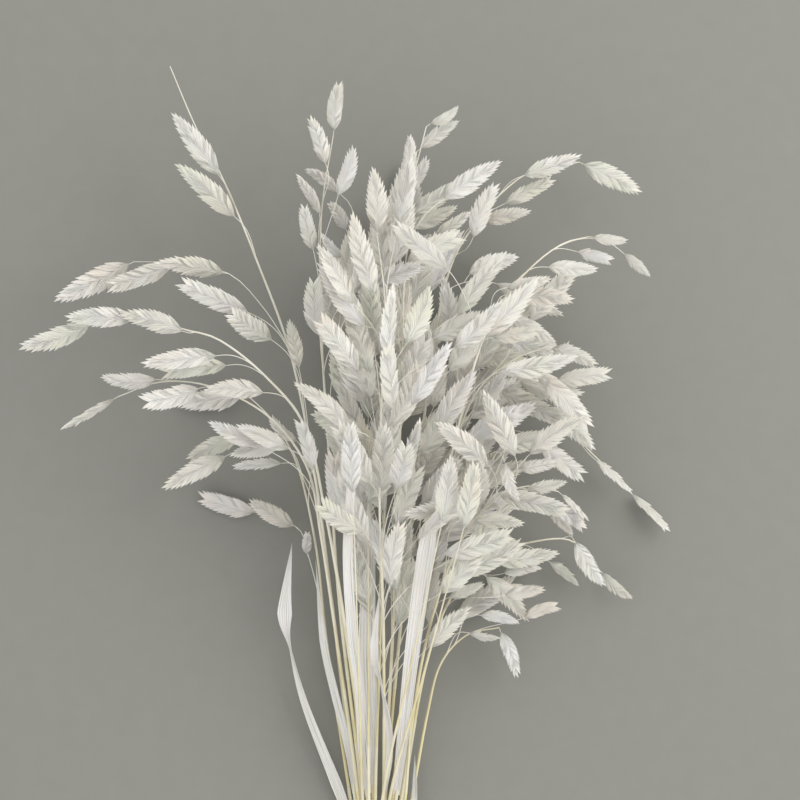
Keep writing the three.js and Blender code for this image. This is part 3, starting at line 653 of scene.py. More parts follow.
def cross_axes(heading):
    """Two directions square to a heading: one level, to its right, and one as near to up as it allows."""
    right = unit(np.cross(heading, (0, 0, 1)))
    return right, np.cross(right, heading)


def leaf_route(index):
    at, points = STEMS[index]["leaf"]
    root = culm_at(index, at)[0]
    return smooth_route(np.array([root, *[point[:3] for point in points]], float))


def leaf_at(index, place):
    """Where a leaf is at one place along its route, its heading, its width and its twist."""
    points = STEMS[index]["leaf"][1]
    widths = [points[0][3] * LEAF_ROOT_SHARE, *[point[3] for point in points]]
    twists = [0, *[point[4] for point in points]]
    last = len(points)
    low = math.floor(place)
    high = min(low + 1, last)
    route = leaf_route(index)
    width = lerp(widths[low], widths[high], place - low)
    twist = math.radians(lerp(twists[low], twists[high], place - low))
    return route(place / last), heading_at(route, place / last), width, twist


def straight_leaf(length):
    """A flat ribbed ribbon along +X, 1 mm wide, so that its route's radius gives its width."""
    bpy.ops.mesh.primitive_grid_add(
        x_subdivisions=round(length / LEAF_SPACING),
        y_subdivisions=LEAF_RIBS * 2,
        size=MM,
        calc_uvs=True,
    )
    leaf = bpy.context.object
    bpy.ops.object.mode_set(mode="EDIT")
    bpy.ops.transform.resize(value=(length, 1, 1), center_override=(-MM / 2, 0, 0))
    bpy.ops.transform.translate(value=(MM / 2, 0, 0))
    column = MM / (LEAF_RIBS * 2)
    pick("VERT", lambda point: round(point.co.y / column) % 2 == 1)
    bpy.ops.transform.translate(value=(0, 0, LEAF_RIB_HEIGHT * MM))
    for step in range(LEAF_RIBS):
        pick("VERT", lambda point: abs(point.co.y) < (step + 0.5) * column)
        bpy.ops.transform.translate(value=(0, 0, -LEAF_FOLD / LEAF_RIBS * MM))
    bpy.ops.object.mode_set(mode="OBJECT")
    return leaf


leaf_finish = Finish("dry ribbon leaf")
along, across = leaf_finish.uv()
ribs = ((across * (LEAF_RIBS * 2 * math.pi)).sine() * 0.5 + 0.5) ** 2
streaks = leaf_finish.noise(leaf_finish.vector(along * 4, across * 14, 0), 1, 3)
clouds = leaf_finish.noise(leaf_finish.place(), 45)
colour = leaf_finish.ramp(streaks, LEAF_COLOURS)
colour = leaf_finish.mix(ribs * 0.6, colour, LEAF_RIB_SHADE, "MULTIPLY")
colour = leaf_finish.mix((clouds - 0.4).kept() * 0.8, colour, LEAF_STAIN_COLOUR)
leaf_finish.set(
    base_color=colour,
    roughness=0.55 + streaks * 0.15,
    normal=leaf_finish.bump(ribs * 0.6 + streaks * 0.4, 0.0002),
    subsurface_weight=0.15,
    subsurface_scale=0.001,
)

for index, stem in enumerate(STEMS):
    if "leaf" not in stem:
        continue
    last = len(stem["leaf"][1])
    route = []
    for step in range(last * LEAF_STEPS + 1):
        point, heading, width, twist = leaf_at(index, step / LEAF_STEPS)
        route.append((point, max(width, LEAF_TIP), -twist))
    leaf = straight_leaf(route_length(route))
    leaf.name = f"leaf_{index + 1:02}"
    bend_along(leaf, route)
    wall = leaf.modifiers.new("wall", "SOLIDIFY")
    wall.thickness = LEAF_THICKNESS * MM
    wall.offset = 0
    bpy.ops.object.modifier_apply(modifier=wall.name)
    bpy.ops.object.shade_smooth_by_angle(angle=SMOOTH_ANGLE)
    leaf.data.materials.append(leaf_finish.material)
    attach(leaf, "root")
    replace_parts(leaf, f"leafy_stem_{index + 1:02}")

# The branches. They are hair-thin straws that grew with their culm. A spray passes the foot of each of its
# oats. Any other branch bends off the culm and ends in one oat, with more beside it on short stalks. Each
# oat turns until it hangs clear of what is there already, and the dice below gives every run the same oats.
BRANCH_ROOM = 0.75
BRANCH_REACH = 0.5
SPRAY_DROP = 0.4
SPRAY_EASE = 0.36
BRANCH_LIFTS = (0, 5, -5, 10, -10, 15, -15, 20)
BRANCH_RADIUS = 0.27
BRANCH_TIP_RADIUS = 0.18
BRANCH_STEPS = 14
OAT_LENGTH = (34, 46)
OAT_WIDTH = (11, 13.2)
OAT_WIDTH_SHARE = 0.33
OAT_THICKNESS = 2.3
OAT_YAW = (8, 26)
OAT_PITCH = 14
OAT_ROLL = 36
OAT_BEND = 2
OAT_ARCH = 0.7
ARCHING_NOD = 0.28
UPRIGHT_NOD = -0.6
STALK_ROOM = 0.42
STALK_RADIUS = 0.17
SIDE_STALK = 5.5
END_STALK = 2.5
STALK_LEAN = 2.2
STALK_INSET = 2
STALK_STEPS = 6
OAT_SWINGS = (
    (0, 0, 0), (8, 0, 0), (-8, 0, 0), (15, 12, 0), (-15, -12, 0), (22, 0, 0), (-22, 0, 0),
    (10, 35, 0), (-10, -35, 0), (30, 0, 0), (-30, 0, 0), (0, 48, 0), (0, 0, 20), (0, 0, -20),
    (20, 0, 24), (-20, 0, -24), (20, -42, 0), (-20, 42, 0), (20, 0, -24), (-20, 0, 24), (40, 0, 0),
    (-40, 0, 0), (0, 45, 40), (0, -45, -40), (35, 0, 40), (-35, 0, -40), (35, 0, -40), (-35, 0, 40),
)
NARROW_ROOM = (0.5, 1, 0.6)
BROAD_ROOM = (0.43, 0.54, 1)
CLEARANCE = 0.35
CULM = "culm"
LEAF = "leaf"
OAT = "oat"
DICE_STEP = 16807
DICE_RANGE = 2147483647

dice = 20719


def draw(low, high):
    global dice
    dice = dice * DICE_STEP % DICE_RANGE
    return low + (high - low) * (dice / DICE_RANGE)


class Room:
    """A box that a piece keeps clear: its middle, its three directions and its half lengths along them."""

    def __init__(self, stem, part, centre, axes, half):
        self.stem = stem
        self.part = part
        self.centre = centre
        self.axes = np.array(axes)
        self.half = np.array(half)
        self.reach = math.sqrt(self.half @ self.half)

    def is_above_floor(self):
        return self.centre[2] >= np.abs(self.axes[:, 2]) @ self.half

    def is_apart(self, other):
        """Two boxes are apart when some direction shows a gap between them."""
        across = np.cross(self.axes[0], other.axes[0])
        directions = [self.axes, other.axes]
        length = math.sqrt(across @ across)
        if length > 0.01:
            directions.append([across / length])
        directions = np.vstack(directions)
        spans = np.abs(directions @ self.axes.T) @ self.half + np.abs(directions @ other.axes.T) @ other.half
        return bool((np.abs(directions @ (other.centre - self.centre)) > spans + CLEARANCE).any())


class Bunch:
    """All rooms taken so far."""

    def __init__(self):
        self.rooms = []
        self.centres = np.zeros((0, 3))
        self.reaches = np.zeros(0)

    def leave(self, count):
        """Gives back all rooms but the first ones."""
        self.rooms = self.rooms[:count]
        self.centres = self.centres[:count]
        self.reaches = self.reaches[:count]

    def take(self, rooms):
        self.rooms.extend(rooms)
        self.centres = np.array([room.centre for room in self.rooms])
        self.reaches = np.array([room.reach for room in self.rooms])

    def has_room(self, rooms, may_meet):
        """Whether new rooms keep above the floor and clear of the taken ones that they may not meet."""
        for room in rooms:
            if not room.is_above_floor():
                return False
            distances = np.sqrt(((self.centres - room.centre) ** 2).sum(axis=1))
            near = np.flatnonzero(distances <= self.reaches + room.reach + CLEARANCE)
            for other in (self.rooms[k] for k in near):
                if not may_meet(other) and not room.is_apart(other):
                    return False
        return True


def stalk_rooms(stem, part, points, radii):
    rooms = []
    for start, end, radius in zip(points, points[1:], radii):
        along = end - start
        half = (math.sqrt(along @ along) / 2, radius, radius)
        heading = unit(along)
        rooms.append(Room(stem, part, start + along / 2, (heading, *cross_axes(heading)), half))
    return rooms


def leaf_rooms(index):
    """Rooms along a leaf, a half place long each, as wide as the leaf is there."""
    places = np.arange(0, len(STEMS[index]["leaf"][1]) + 0.25, 0.5)
    stations = []
    for place in places:
        point, heading, width, twist = leaf_at(index, place)
        right, up = cross_axes(heading)
        stations.append((point, width, up * math.cos(twist) - right * math.sin(twist)))
    rooms = []
    for (start, start_width, start_face), (end, end_width, end_face) in zip(stations, stations[1:]):
        along = end - start
        half = (math.sqrt(along @ along) / 2, max(start_width, end_width) / 2, LEAF_ROOM)
        heading = unit(along)
        face = start_face + end_face
        face = unit(face - heading * (face @ heading))
        rooms.append(Room(index, LEAF, start + along / 2, (heading, np.cross(heading, face), face), half))
    return rooms


def level_turn(heading, angle):
    """A level direction that points as the heading does from above, turned by an angle to the left."""
    x, y = unit(heading[:2])
    return np.array([
        x * math.cos(angle) - y * math.sin(angle),
        x * math.sin(angle) + y * math.cos(angle),
        0,
    ])


class Oat:
    """One oat on its stalk. Its draws are made once, and hang() then turns it by a swing."""

    def __init__(self, stem, root, heading, side, target=None):
        self.stem = stem
        self.root = root
        self.heading = heading
        self.nod = UPRIGHT_NOD if STEMS[stem].get("is_upright") else ARCHING_NOD
        self.length = draw(*OAT_LENGTH)
        self.width = draw(*OAT_WIDTH)
        self.yaw = math.radians(side * draw(*OAT_YAW))
        self.pitch = draw(-OAT_PITCH, OAT_PITCH)
        self.roll = OAT_ROLL * draw(-1, 1) ** 3
        self.bend = draw(-OAT_BEND, OAT_BEND)
        self.arch = draw(-OAT_ARCH, OAT_ARCH)
        if target:
            self.lay(*target)
        lean = level_turn(heading, self.yaw * STALK_LEAN) + np.array([0, 0, heading[2]])
        self.lean = unit(lean)
        self.base = root + self.lean * (END_STALK if side == 0 else SIDE_STALK)

    def lay(self, x, y, roll=None):
        """Gives the oat the size with which its point lies over x and y. It doesn't nod."""
        self.length = math.hypot(x - self.root[0], y - self.root[1]) - END_STALK
        self.width = min(self.width, self.length * OAT_WIDTH_SHARE)
        self.nod = 0
        self.roll = self.roll if roll is None else roll

    def hang(self, pitch_swing, roll_swing, yaw_swing):
        """Turns the oat. It nods towards the cut ends, as it grew, or rises on an upright stem."""
        pitch = math.radians(self.pitch + pitch_swing)
        roll = math.radians(self.roll + roll_swing)
        level = level_turn(self.heading, self.yaw + math.radians(yaw_swing))
        level[1] -= self.nod
        self.axis = unit(level) * math.cos(pitch) + np.array([0, 0, math.sin(pitch)])
        right, up = cross_axes(self.axis)
        self.wide = right * math.cos(roll) + up * math.sin(roll)
        self.face = up * math.cos(roll) - right * math.sin(roll)

    def room(self, middle, length_share, width_share):
        half = (
            self.length * length_share / 2,
            (self.width * width_share + OAT_BEND) / 2,
            (OAT_THICKNESS + OAT_ARCH) / 2,
        )
        bow = 4 * middle * (1 - middle) / 2
        centre = (
            self.base + self.axis * (middle * self.length)
            + self.wide * (self.bend * bow) + self.face * (self.arch * bow)
        )
        return Room(self.stem, OAT, centre, (self.axis, self.wide, self.face), half)


def hang_clear(bunch, stem, parent, root, heading, side, target=None):
    """The oat in the first swing in which it has room, or None where no swing has room."""
    oat = Oat(stem, root, heading, side, target)
    for swing in OAT_SWINGS:
        oat.hang(*swing)
        broad = oat.room(*BROAD_ROOM)
        narrow = [oat.room(*NARROW_ROOM), *stalk_rooms(stem, parent, [root, oat.base], [STALK_ROOM])]
        if bunch.has_room([broad], lambda other: False) and bunch.has_room(
            narrow,
            lambda other: other.stem == stem and other.part == parent,
        ):
            bunch.take([broad, *narrow])
            return oat
    return None


def bow_route(start, bend, end):
    """A route that leaves the start towards the bend and reaches the end from it."""
    return lambda share: start * (1 - share) ** 2 + bend * (2 * share * (1 - share)) + end * share ** 2


def turn_route(start, leaving, arriving, end):
    """A route that leaves the start towards one point and arrives at the end from another one."""
    return lambda share: (
        start * (1 - share) ** 3 + leaving * (3 * share * (1 - share) ** 2)
        + arriving * (3 * share ** 2 * (1 - share)) + end * share ** 3
    )


def branch_has_room(bunch, stem, rooms):
    """Whether a branch has room. It may meet all of its own stem but the oats."""
    return bunch.has_room(rooms, lambda other: other.stem == stem and other.part != OAT)


def level_way(start, target):
    return unit(np.array([target[0] - start[0], target[1] - start[1], 0]))


def grow_spray(bunch, stem, index):
    """A branch that passes the foot of each of its oats, and these oats. Both are empty without room.

    Where it has one oat, it leaves its culm lower down and turns into the oat's own direction.
    """
    place, *laid = STEMS[stem]["sprays"][index]
    part = f"spray {index}"
    root, heading, _ = culm_at(stem, place)
    for lift in BRANCH_LIFTS:
        feet = [np.array([x, y, z + lift], float) for x, y, z, *_ in laid]
        straight = feet[0] - root
        reach = math.sqrt(straight @ straight) * BRANCH_REACH
        bend = root + unit(unit(straight) + heading) * reach
        points = [root, (root + feet[0]) / 4 + bend / 2, *feet]
        rooms = stalk_rooms(stem, part, points, [BRANCH_ROOM] * len(points))
        if not branch_has_room(bunch, stem, rooms):
            continue
        bunch.take(rooms)
        oats = []
        for foot, (_, _, _, *target) in zip(feet, laid):
            way = level_way(foot, target)
            oats.append(hang_clear(bunch, stem, part, foot, way, 0, target))
        if len(feet) > 1:
            route = smooth_route(points)
        else:
            low, ahead, _ = culm_at(stem, place - SPRAY_DROP)
            ease = math.dist(low, foot) * SPRAY_EASE
            route = turn_route(low, low + ahead * ease, foot - way * ease, foot)
        return [route], [oat for oat in oats if oat]
    return [], []


def grow_branch(bunch, stem, index):
    """A branch's route and the oats on it. Both are empty where no lift gives it room."""
    place, x, y, z, count = STEMS[stem]["branches"][index]
    part = f"branch {index}"
    root, heading, _ = culm_at(stem, place)
    steps = max(2, count)
    for lift in BRANCH_LIFTS:
        end = np.array([x, y, z + lift], float)
        straight = end - root
        reach = math.sqrt(straight @ straight) * BRANCH_REACH
        route = bow_route(root, root + unit(unit(straight) + heading) * reach, end)
        points = [route(step / steps) for step in range(steps + 1)]
        rooms = stalk_rooms(stem, part, points, [BRANCH_ROOM] * len(points))
        if not branch_has_room(bunch, stem, rooms):
            continue
        bunch.take(rooms)
        oats = [hang_clear(bunch, stem, part, end, heading_at(route, 1), 0)]
        first_side = 1 if index % 2 == 0 else -1
        for step in range(steps - 1, steps - count, -1):
            side = -first_side if (steps - step) % 2 == 0 else first_side
            ahead = heading_at(route, step / steps)
            oats.append(hang_clear(bunch, stem, part, points[step], ahead, side))
        return [route], [oat for oat in oats if oat]
    return [], []


bunch = Bunch()
for index, stem in enumerate(STEMS):
    last = len(culm_points(index)) - 1
    places = [0, *np.arange(1, last + 0.25, 0.5)]
    stations = [culm_at(index, place) for place in places]
    points = [point for point, _, _ in stations]
    bunch.take(stalk_rooms(index, CULM, points, [room for _, _, room in stations]))
    if "leaf" in stem:
        bunch.take(leaf_rooms(index))

oats = []
branches = []
for index, stem in enumerate(STEMS):
    last = len(culm_points(index)) - 1
    hung = []
    if not stem.get("bare_tip"):
        tip, ahead, _ = culm_at(index, last)
        target = stem.get("tip")
        ahead = level_way(tip, target) if target else ahead
        hung.append(hang_clear(bunch, index, CULM, tip, ahead, 0, target))
    for place, side in stem.get("oats", []):
        point, ahead, _ = culm_at(index, place)
        hung.append(hang_clear(bunch, index, CULM, point, ahead, side))
    grown = [grow_spray(bunch, index, k) for k in range(len(stem.get("sprays", [])))]
    grown += [grow_branch(bunch, index, k) for k in range(len(stem.get("branches", [])))]
    oats.append([oat for oat in hung if oat] + [oat for _, on_it in grown for oat in on_it])
    branches.append([route for routes, _ in grown for route in routes])


def make_stalks(name, grown, hung):
    """Branches along their routes and the short stalks of the oats on them, as one piece."""
    shares = [step / BRANCH_STEPS for step in range(BRANCH_STEPS + 1)]
    routes = []
    for route in grown:
        routes.append([(route(share), lerp(BRANCH_RADIUS, BRANCH_TIP_RADIUS, share), 0) for share in shares])
    for oat in hung:
        bend = oat.base - oat.lean * STALK_INSET / 2
        route = bow_route(oat.root, bend, oat.base + oat.axis * STALK_INSET)
        routes.append([(route(step / STALK_STEPS), STALK_RADIUS, 0) for step in range(STALK_STEPS + 1)])
    stalks = thread(name, routes, thickness=MM)
    work_on(stalks)
    bpy.ops.object.convert(target="MESH")
    bpy.ops.object.mode_set(mode="EDIT")
    bpy.ops.mesh.select_all(action="SELECT")
    bpy.ops.mesh.remove_doubles(threshold=MM / 100)
    bpy.ops.mesh.normals_make_consistent()
    bpy.ops.object.mode_set(mode="OBJECT")
    bpy.ops.object.shade_smooth_by_angle(angle=SMOOTH_ANGLE)
    branch = stalks.data.attributes.new("branch", "FLOAT", "POINT")
    branch.data.foreach_set("value", [1] * len(stalks.data.vertices))
    stalks.data.materials.append(culm_finish.material)
    return stalks


def join_stalks(culm, grown, hung):
    """Makes branches and stalks a part of the culm that they grow on."""
    work_on(culm, make_stalks("stalks", grown, hung))
    bpy.ops.object.join()


for culm, grown, hung in zip(culms, branches, oats):
    join_stalks(culm, grown, hung)

# More culms. The real bunch has more straws than its sixteen leafy stems. They are the same round jointed
# straws, lie on the others in the same hold, and end inside the dense middle. Each bears an oat on its end
# where there is room for one.
MORE_CULMS = [
    (3, -1.5, (-8.5, 70, 23)), (3, -0.5, (-1.5, 70, 24)), (3, 0.5, (6.5, 70, 24)), (2, 2, (15, 70, 18)),
    (1, 2.5, (17.5, 70, 12)), (4, -1, (-5, 70, 29)), (4, 0, (2.5, 70, 30)),
]
MORE_CULM_TRIES = 90
MORE_CULM_FAN = (-22, 45)
MORE_CULM_END = (215, 330)
MORE_CULM_HEIGHT = (30, 112)
MORE_CULM_ROOM = 1
UPRIGHT_STEM = 6


def grow_culm(bunch, step):
    """The points of one more culm and the oat on its end. Both are empty where no try finds room."""
    layer, place, start = MORE_CULMS[step]
    for _ in range(MORE_CULM_TRIES):
        end = (start[0] + draw(*MORE_CULM_FAN), draw(*MORE_CULM_END), draw(*MORE_CULM_HEIGHT))
        middle = lerp(np.array(start), np.array(end), 0.5)
        points = np.array([*culm_foot(layer, place, step), start, middle, end])
        smooth = smooth_route(points)
        stations = [smooth(share) for share in np.arange(0.5, 1.01, 0.125)]
        rooms = stalk_rooms(UPRIGHT_STEM, f"more {step}", stations, [MORE_CULM_ROOM] * len(stations))
        if bunch.has_room(rooms, lambda other: False):
            bunch.take(rooms)
            oat = hang_clear(bunch, UPRIGHT_STEM, f"more {step}", smooth(1), heading_at(smooth, 1), 0)
            return points, [oat] if oat else []
    return [], []


more_oats = {0: []}
for step in range(len(MORE_CULMS)):
    points, hung = grow_culm(bunch, step)
    if len(points):
        culm = make_culm(points, step)
        finish_culm(culm, f"more_culms_{step + 1:02}")
        if hung:
            join_stalks(culm, [], hung)
            more_oats[0].extend(hung)

# More branches. The dense middle of the real bunch has more oats than the leafy stems' own. They hang there
# on short thin straws that leave the upright and right culms, wherever a way and room for an oat are left.
FILLER_STEMS = (5, 6, 7, 8, 9, 10, 11, 13)
FILLER_PLACES = (2.6, 6.4, 0.022)
FILLER_TURN = (0, 50)
FILLER_REACH = (14, 55)
FILLER_RISE = 28
DENSE_OVALS = [((44, 262), (74, 84)), ((2, 326), (28, 72))]


def is_dense_at(point):
    """Whether a point lies over the dense middle, which is two ovals seen from above."""
    return any(math.hypot(*((point[:2] - centre) / radii)) < 1 for centre, radii in DENSE_OVALS)


def grow_filler(bunch, stem, place, side):
    """A short branch of the dense middle, with an oat on its end. Both are empty without room."""
    root, heading, _ = culm_at(stem, place)
    part = f"filler {place}"
    ahead = level_turn(heading, math.radians(side * draw(*FILLER_TURN)))
    end = root + ahead * draw(*FILLER_REACH) + np.array([0, 0, draw(-FILLER_RISE, FILLER_RISE)])
    straight = end - root
    bend = root + unit(unit(straight) + heading) * math.sqrt(straight @ straight) * BRANCH_REACH
    route = bow_route(root, bend, end)
    points = [route(0), route(0.5), route(1)]
    rooms = stalk_rooms(stem, part, points, [BRANCH_RADIUS] * len(points))
    taken = len(bunch.rooms)
    if branch_has_room(bunch, stem, rooms):
        bunch.take(rooms)
        oat = hang_clear(bunch, stem, part, end, heading_at(route, 1), 0)
        if oat and is_dense_at(oat.base + oat.axis * oat.length):
            return [route], [oat]
        bunch.leave(taken)
    return [], []


for index in FILLER_STEMS:
    grown = []
    for step, place in enumerate(np.arange(*FILLER_PLACES)):
        grown.append(grow_filler(bunch, index, place, 1 if step % 2 else -1))
    routes = [route for found, _ in grown for route in found]
    more_oats[index + 1] = [oat for _, on_it in grown for oat in on_it]
    stalks = make_stalks(f"more_branches_{index + 1:02}", routes, more_oats[index + 1])
    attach(stalks, "root")

# The oats. Each is a flat head of dry papery florets, folded along their keels and stacked in two rows
# along a thin stalk. A lower floret wraps the foot of the next one, and their points make teeth along
# both edges. The floret is modelled once, from its keel to its open margin, and copied to its places.
FLORET_ROWS = 8
FLORET_COLUMNS = 3
FLORET_KEEL_SHARE = 0.3
FLORET_WIDEST = 0.46
FLORET_SHARPNESS = 1.05
FLORET_HEIGHTS = (0, 0.5, 0.84, 1)
FLORET_TIP_CURL = 0.1
FLORET_POINT = 0.02
FLORET_FLATNESS = 0.7
FLORET_WIDTH = 0.19
FLORET_COUNT = (21, 27)
FLORET_SHARE = 0.4
FLORET_FLARE = 0.5
GLUME_TIP = 0.15
FIRST_TIP = 0.24
TIP_CROWDING = 0.95
FOOT_START = 0.01
FOOT_ACROSS = 0.2
OAT_SPREAD = (0.9, 1.04)
OAT_OPENING = 0.5
OPENING_START = 0.55
OAT_SKEW = 0.8
OAT_BLUNTNESS = 0.7
END_SWELL = 0.55
FLORET_CREASE_ANGLE = math.radians(50)
OAT_SEED = 11


def fill_at(share):
    """How wide a floret is at a share of its length, as a share of its greatest width."""
    rise = FLORET_SHARPNESS * FLORET_WIDEST / (1 - FLORET_WIDEST)
    peak = FLORET_WIDEST ** rise * (1 - FLORET_WIDEST) ** FLORET_SHARPNESS
    return share ** rise * (1 - share) ** FLORET_SHARPNESS / peak


def model_floret():
    """A folded floret along +X, of unit length, width and half thickness, with its keel towards +Y."""
    bpy.ops.mesh.primitive_grid_add(
        x_subdivisions=FLORET_ROWS,
        y_subdivisions=FLORET_COLUMNS,
        size=1,
        location=(0.5, FLORET_KEEL_SHARE - 0.5, 0),
        calc_uvs=True,
    )
    bpy.ops.object.transform_apply()
    floret = bpy.context.object
    bpy.ops.object.mode_set(mode="EDIT")
    for column, height in enumerate(FLORET_HEIGHTS):
        y = FLORET_KEEL_SHARE - column / FLORET_COLUMNS
        pick("VERT", lambda point: abs(point.co.y - y) < 0.01)
        bpy.ops.transform.translate(value=(0, 0, height))
    for row in range(FLORET_ROWS + 1):
        share = row / FLORET_ROWS
        width = max(FLORET_POINT, fill_at(share))
        pick("VERT", lambda point: abs(point.co.x - share) < 0.01)
        bpy.ops.transform.resize(value=(1, width, width ** FLORET_FLATNESS), center_override=(share, 0, 0))
        bpy.ops.transform.translate(value=(0, FLORET_TIP_CURL * share ** 4, 0))
    bpy.ops.object.mode_set(mode="OBJECT")
    fold = floret.modifiers.new("fold", "MIRROR")
    fold.use_axis = (False, False, True)
    fold.merge_threshold = FLORET_POINT / 4
    bpy.ops.object.modifier_apply(modifier=fold.name)
    bpy.ops.object.mode_set(mode="EDIT")
    pick("EDGE", lambda edge: edge.is_boundary and abs(edge.verts[0].co.x - edge.verts[1].co.x) > 0.01)
    bpy.ops.mesh.bridge_edge_loops()
    bpy.ops.mesh.select_all(action="SELECT")
    bpy.ops.mesh.remove_doubles(threshold=FLORET_POINT * 3)
    bpy.ops.mesh.normals_make_consistent()
    bpy.ops.object.mode_set(mode="OBJECT")
    return floret


def corners(mesh, name):
    """The values of a mesh's UV map, one row per corner of its faces."""
    values = np.zeros(len(mesh.loops) * 2)
    mesh.uv_layers[name].data.foreach_get("uv", values)
    return values.reshape(-1, 2)


def lay_floret(oat, foot, point, side, half_height, flare):
    """The points of one floret of an oat, from (along, across) its foot to (along, across) its point.

    The second row of florets is the first one turned half round the oat, so both have their keels out.
    """
    reach = np.array(point) - foot
    size = math.sqrt(reach @ reach)
    along, out = reach / size, np.array([-reach[1], reach[0]]) / size
    x, y, z = floret_points.T
    width = size * FLORET_WIDTH
    a = foot[0] + x * size * along[0] + y * width * out[0]
    b = foot[1] + x * size * along[1] + y * width * out[1]
    c = z * half_height + flare * x ** 2
    share = a / oat.length
    bow = 4 * share * (1 - share)
    return (
        oat.base + np.outer(a, oat.axis)
        + np.outer(side * b + oat.bend * bow, oat.wide)
        + np.outer(side * c + oat.arch * bow, oat.face)
    )


def fullness(share):
    """How full the oat's outline is at a share of its length. Up to its first point it widens evenly."""
    if share < FIRST_TIP:
        return share / FIRST_TIP * fullness(FIRST_TIP)
    return math.sin(math.pi * share ** OAT_SKEW) ** OAT_BLUNTNESS if share < 1 else 0


def grow_florets(oat, chance):
    """The tips, as shares of the oat's length, and the points of its florets, the two short glumes first."""
    count = int(chance.integers(*FLORET_COUNT))
    spread = chance.uniform(*OAT_SPREAD)
    opening = OAT_OPENING * chance.uniform() ** 2
    tips = [lerp(FIRST_TIP, 1, (k / (count - 1)) ** TIP_CROWDING) for k in range(count)]
    grown = []
    for k, tip in enumerate([GLUME_TIP, GLUME_TIP, *tips]):
        side = 1 if k % 2 else -1
        opened = opening * max(0, tip - OPENING_START) / (1 - OPENING_START)
        tip_across = oat.width / 2 * (fullness(tip) * spread * chance.uniform(0.92, 1.06) + opened)
        foot = (max(FOOT_START, tip - FLORET_SHARE) * oat.length, FOOT_ACROSS)
        point = (tip * oat.length, max(tip_across, FOOT_ACROSS))
        half_height = OAT_THICKNESS / 2 * lerp(END_SWELL, 1, math.sin(math.pi * min(1, tip * 0.8)))
        grown.append((tip, lay_floret(oat, foot, point, side, half_height, chance.normal(0, FLORET_FLARE))))
    return grown


OAT_COLOURS = [
    (0, (0.88, 0.87, 0.845)),
    (0.2, (0.86, 0.85, 0.8)),
    (0.34, (0.79, 0.795, 0.7)),
    (0.44, (0.88, 0.87, 0.81)),
    (0.56, (0.83, 0.79, 0.735)),
    (0.66, (0.91, 0.905, 0.9)),
    (0.78, (0.86, 0.85, 0.855)),
    (0.9, (0.87, 0.86, 0.81)),
    (1, (0.78, 0.77, 0.71)),
]
OAT_FOOT_COLOUR = (0.78, 0.76, 0.62)
FLORET_DARK_COLOUR = (0.6, 0.56, 0.5)
WARM_REGION_COLOUR = (0.8, 0.7, 0.57)
GREEN_REGION_COLOUR = (0.71, 0.735, 0.56)
PINK_FLUSH_COLOUR = (0.74, 0.63, 0.56)
GREEN_FLUSH_COLOUR = (0.62, 0.65, 0.49)
BROWN_BLOTCH_COLOUR = (0.6, 0.48, 0.39)
NERVE_SHADE = (0.72, 0.7, 0.65)
# Painted shade: darkens the hollow on each floret's keel side towards its foot, where it comes out from
# under the floret below.
PAINTED_HOLLOW_SHADE = (0.6, 0.58, 0.54)
# Painted shadow: a thin dark line on each floret beside its pale open edge, in place of the shadow that the
# steps between overlapping florets cast.
PAINTED_STEP_SHADOW = (0.6, 0.57, 0.52)
# A pale thin open edge on each floret: partly its own paler colour, partly a painted highlight along its lit
# ridge.
MARGIN_AND_HIGHLIGHT_COLOUR = (0.9, 0.895, 0.88)
NERVES = 4

oat_finish = Finish("bleached florets")
along, across = oat_finish.uv()
oat_place = oat_finish.attribute("oat_place")
floret_tint = oat_finish.attribute("floret_tint")
nerves = ((across * (NERVES * 2 * math.pi)).sine() * 0.5 + 0.5) ** 2
# Painted shade, strongest on the keel side of each floret near its foot.
hollow = ((across - 0.2) * (1.2 - along)).kept()
# The pale open edge of each floret, partly a painted highlight.
margin_and_highlight = (1 - across * 8).kept()
# A painted shadow line, a little in from each floret's open edge.
step_shadow = (1 - (across - 0.2) * (across - 0.2) * 80).kept()
blotches = oat_finish.noise(oat_finish.place(), 260)
flush = oat_finish.noise(oat_finish.place(), 110)
regions = oat_finish.noise(oat_finish.place(), 28, 1)
colour = oat_finish.ramp(oat_finish.attribute("oat_tint"), OAT_COLOURS)
foot = ((0.5 - oat_place) * 1.6).kept() * (0.35 + blotches * 0.6)
colour = oat_finish.mix(foot, colour, OAT_FOOT_COLOUR)
colour = oat_finish.mix(floret_tint * 0.14, colour, FLORET_DARK_COLOUR)
colour = oat_finish.mix(((regions - 0.54) * 8).kept() * 0.35, colour, WARM_REGION_COLOUR)
colour = oat_finish.mix(((0.47 - regions) * 8).kept() * 0.35, colour, GREEN_REGION_COLOUR)
colour = oat_finish.mix(((flush - 0.5) * 4).kept() * 0.3, colour, PINK_FLUSH_COLOUR)
colour = oat_finish.mix(((0.46 - flush) * 4).kept() * 0.3, colour, GREEN_FLUSH_COLOUR)
colour = oat_finish.mix(((blotches - 0.62) * 8).kept() * along * 0.4, colour, BROWN_BLOTCH_COLOUR)
colour = oat_finish.mix(nerves * 0.5, colour, NERVE_SHADE, "MULTIPLY")
# Paints the shade in the hollow at each floret's foot into the colour.
colour = oat_finish.mix(hollow * 0.6, colour, PAINTED_HOLLOW_SHADE, "MULTIPLY")
colour = oat_finish.mix(step_shadow * 0.5, colour, PAINTED_STEP_SHADOW, "MULTIPLY")
# The line above paints that shadow line into the colour.
colour = oat_finish.mix(margin_and_highlight * 0.5, colour, MARGIN_AND_HIGHLIGHT_COLOUR)
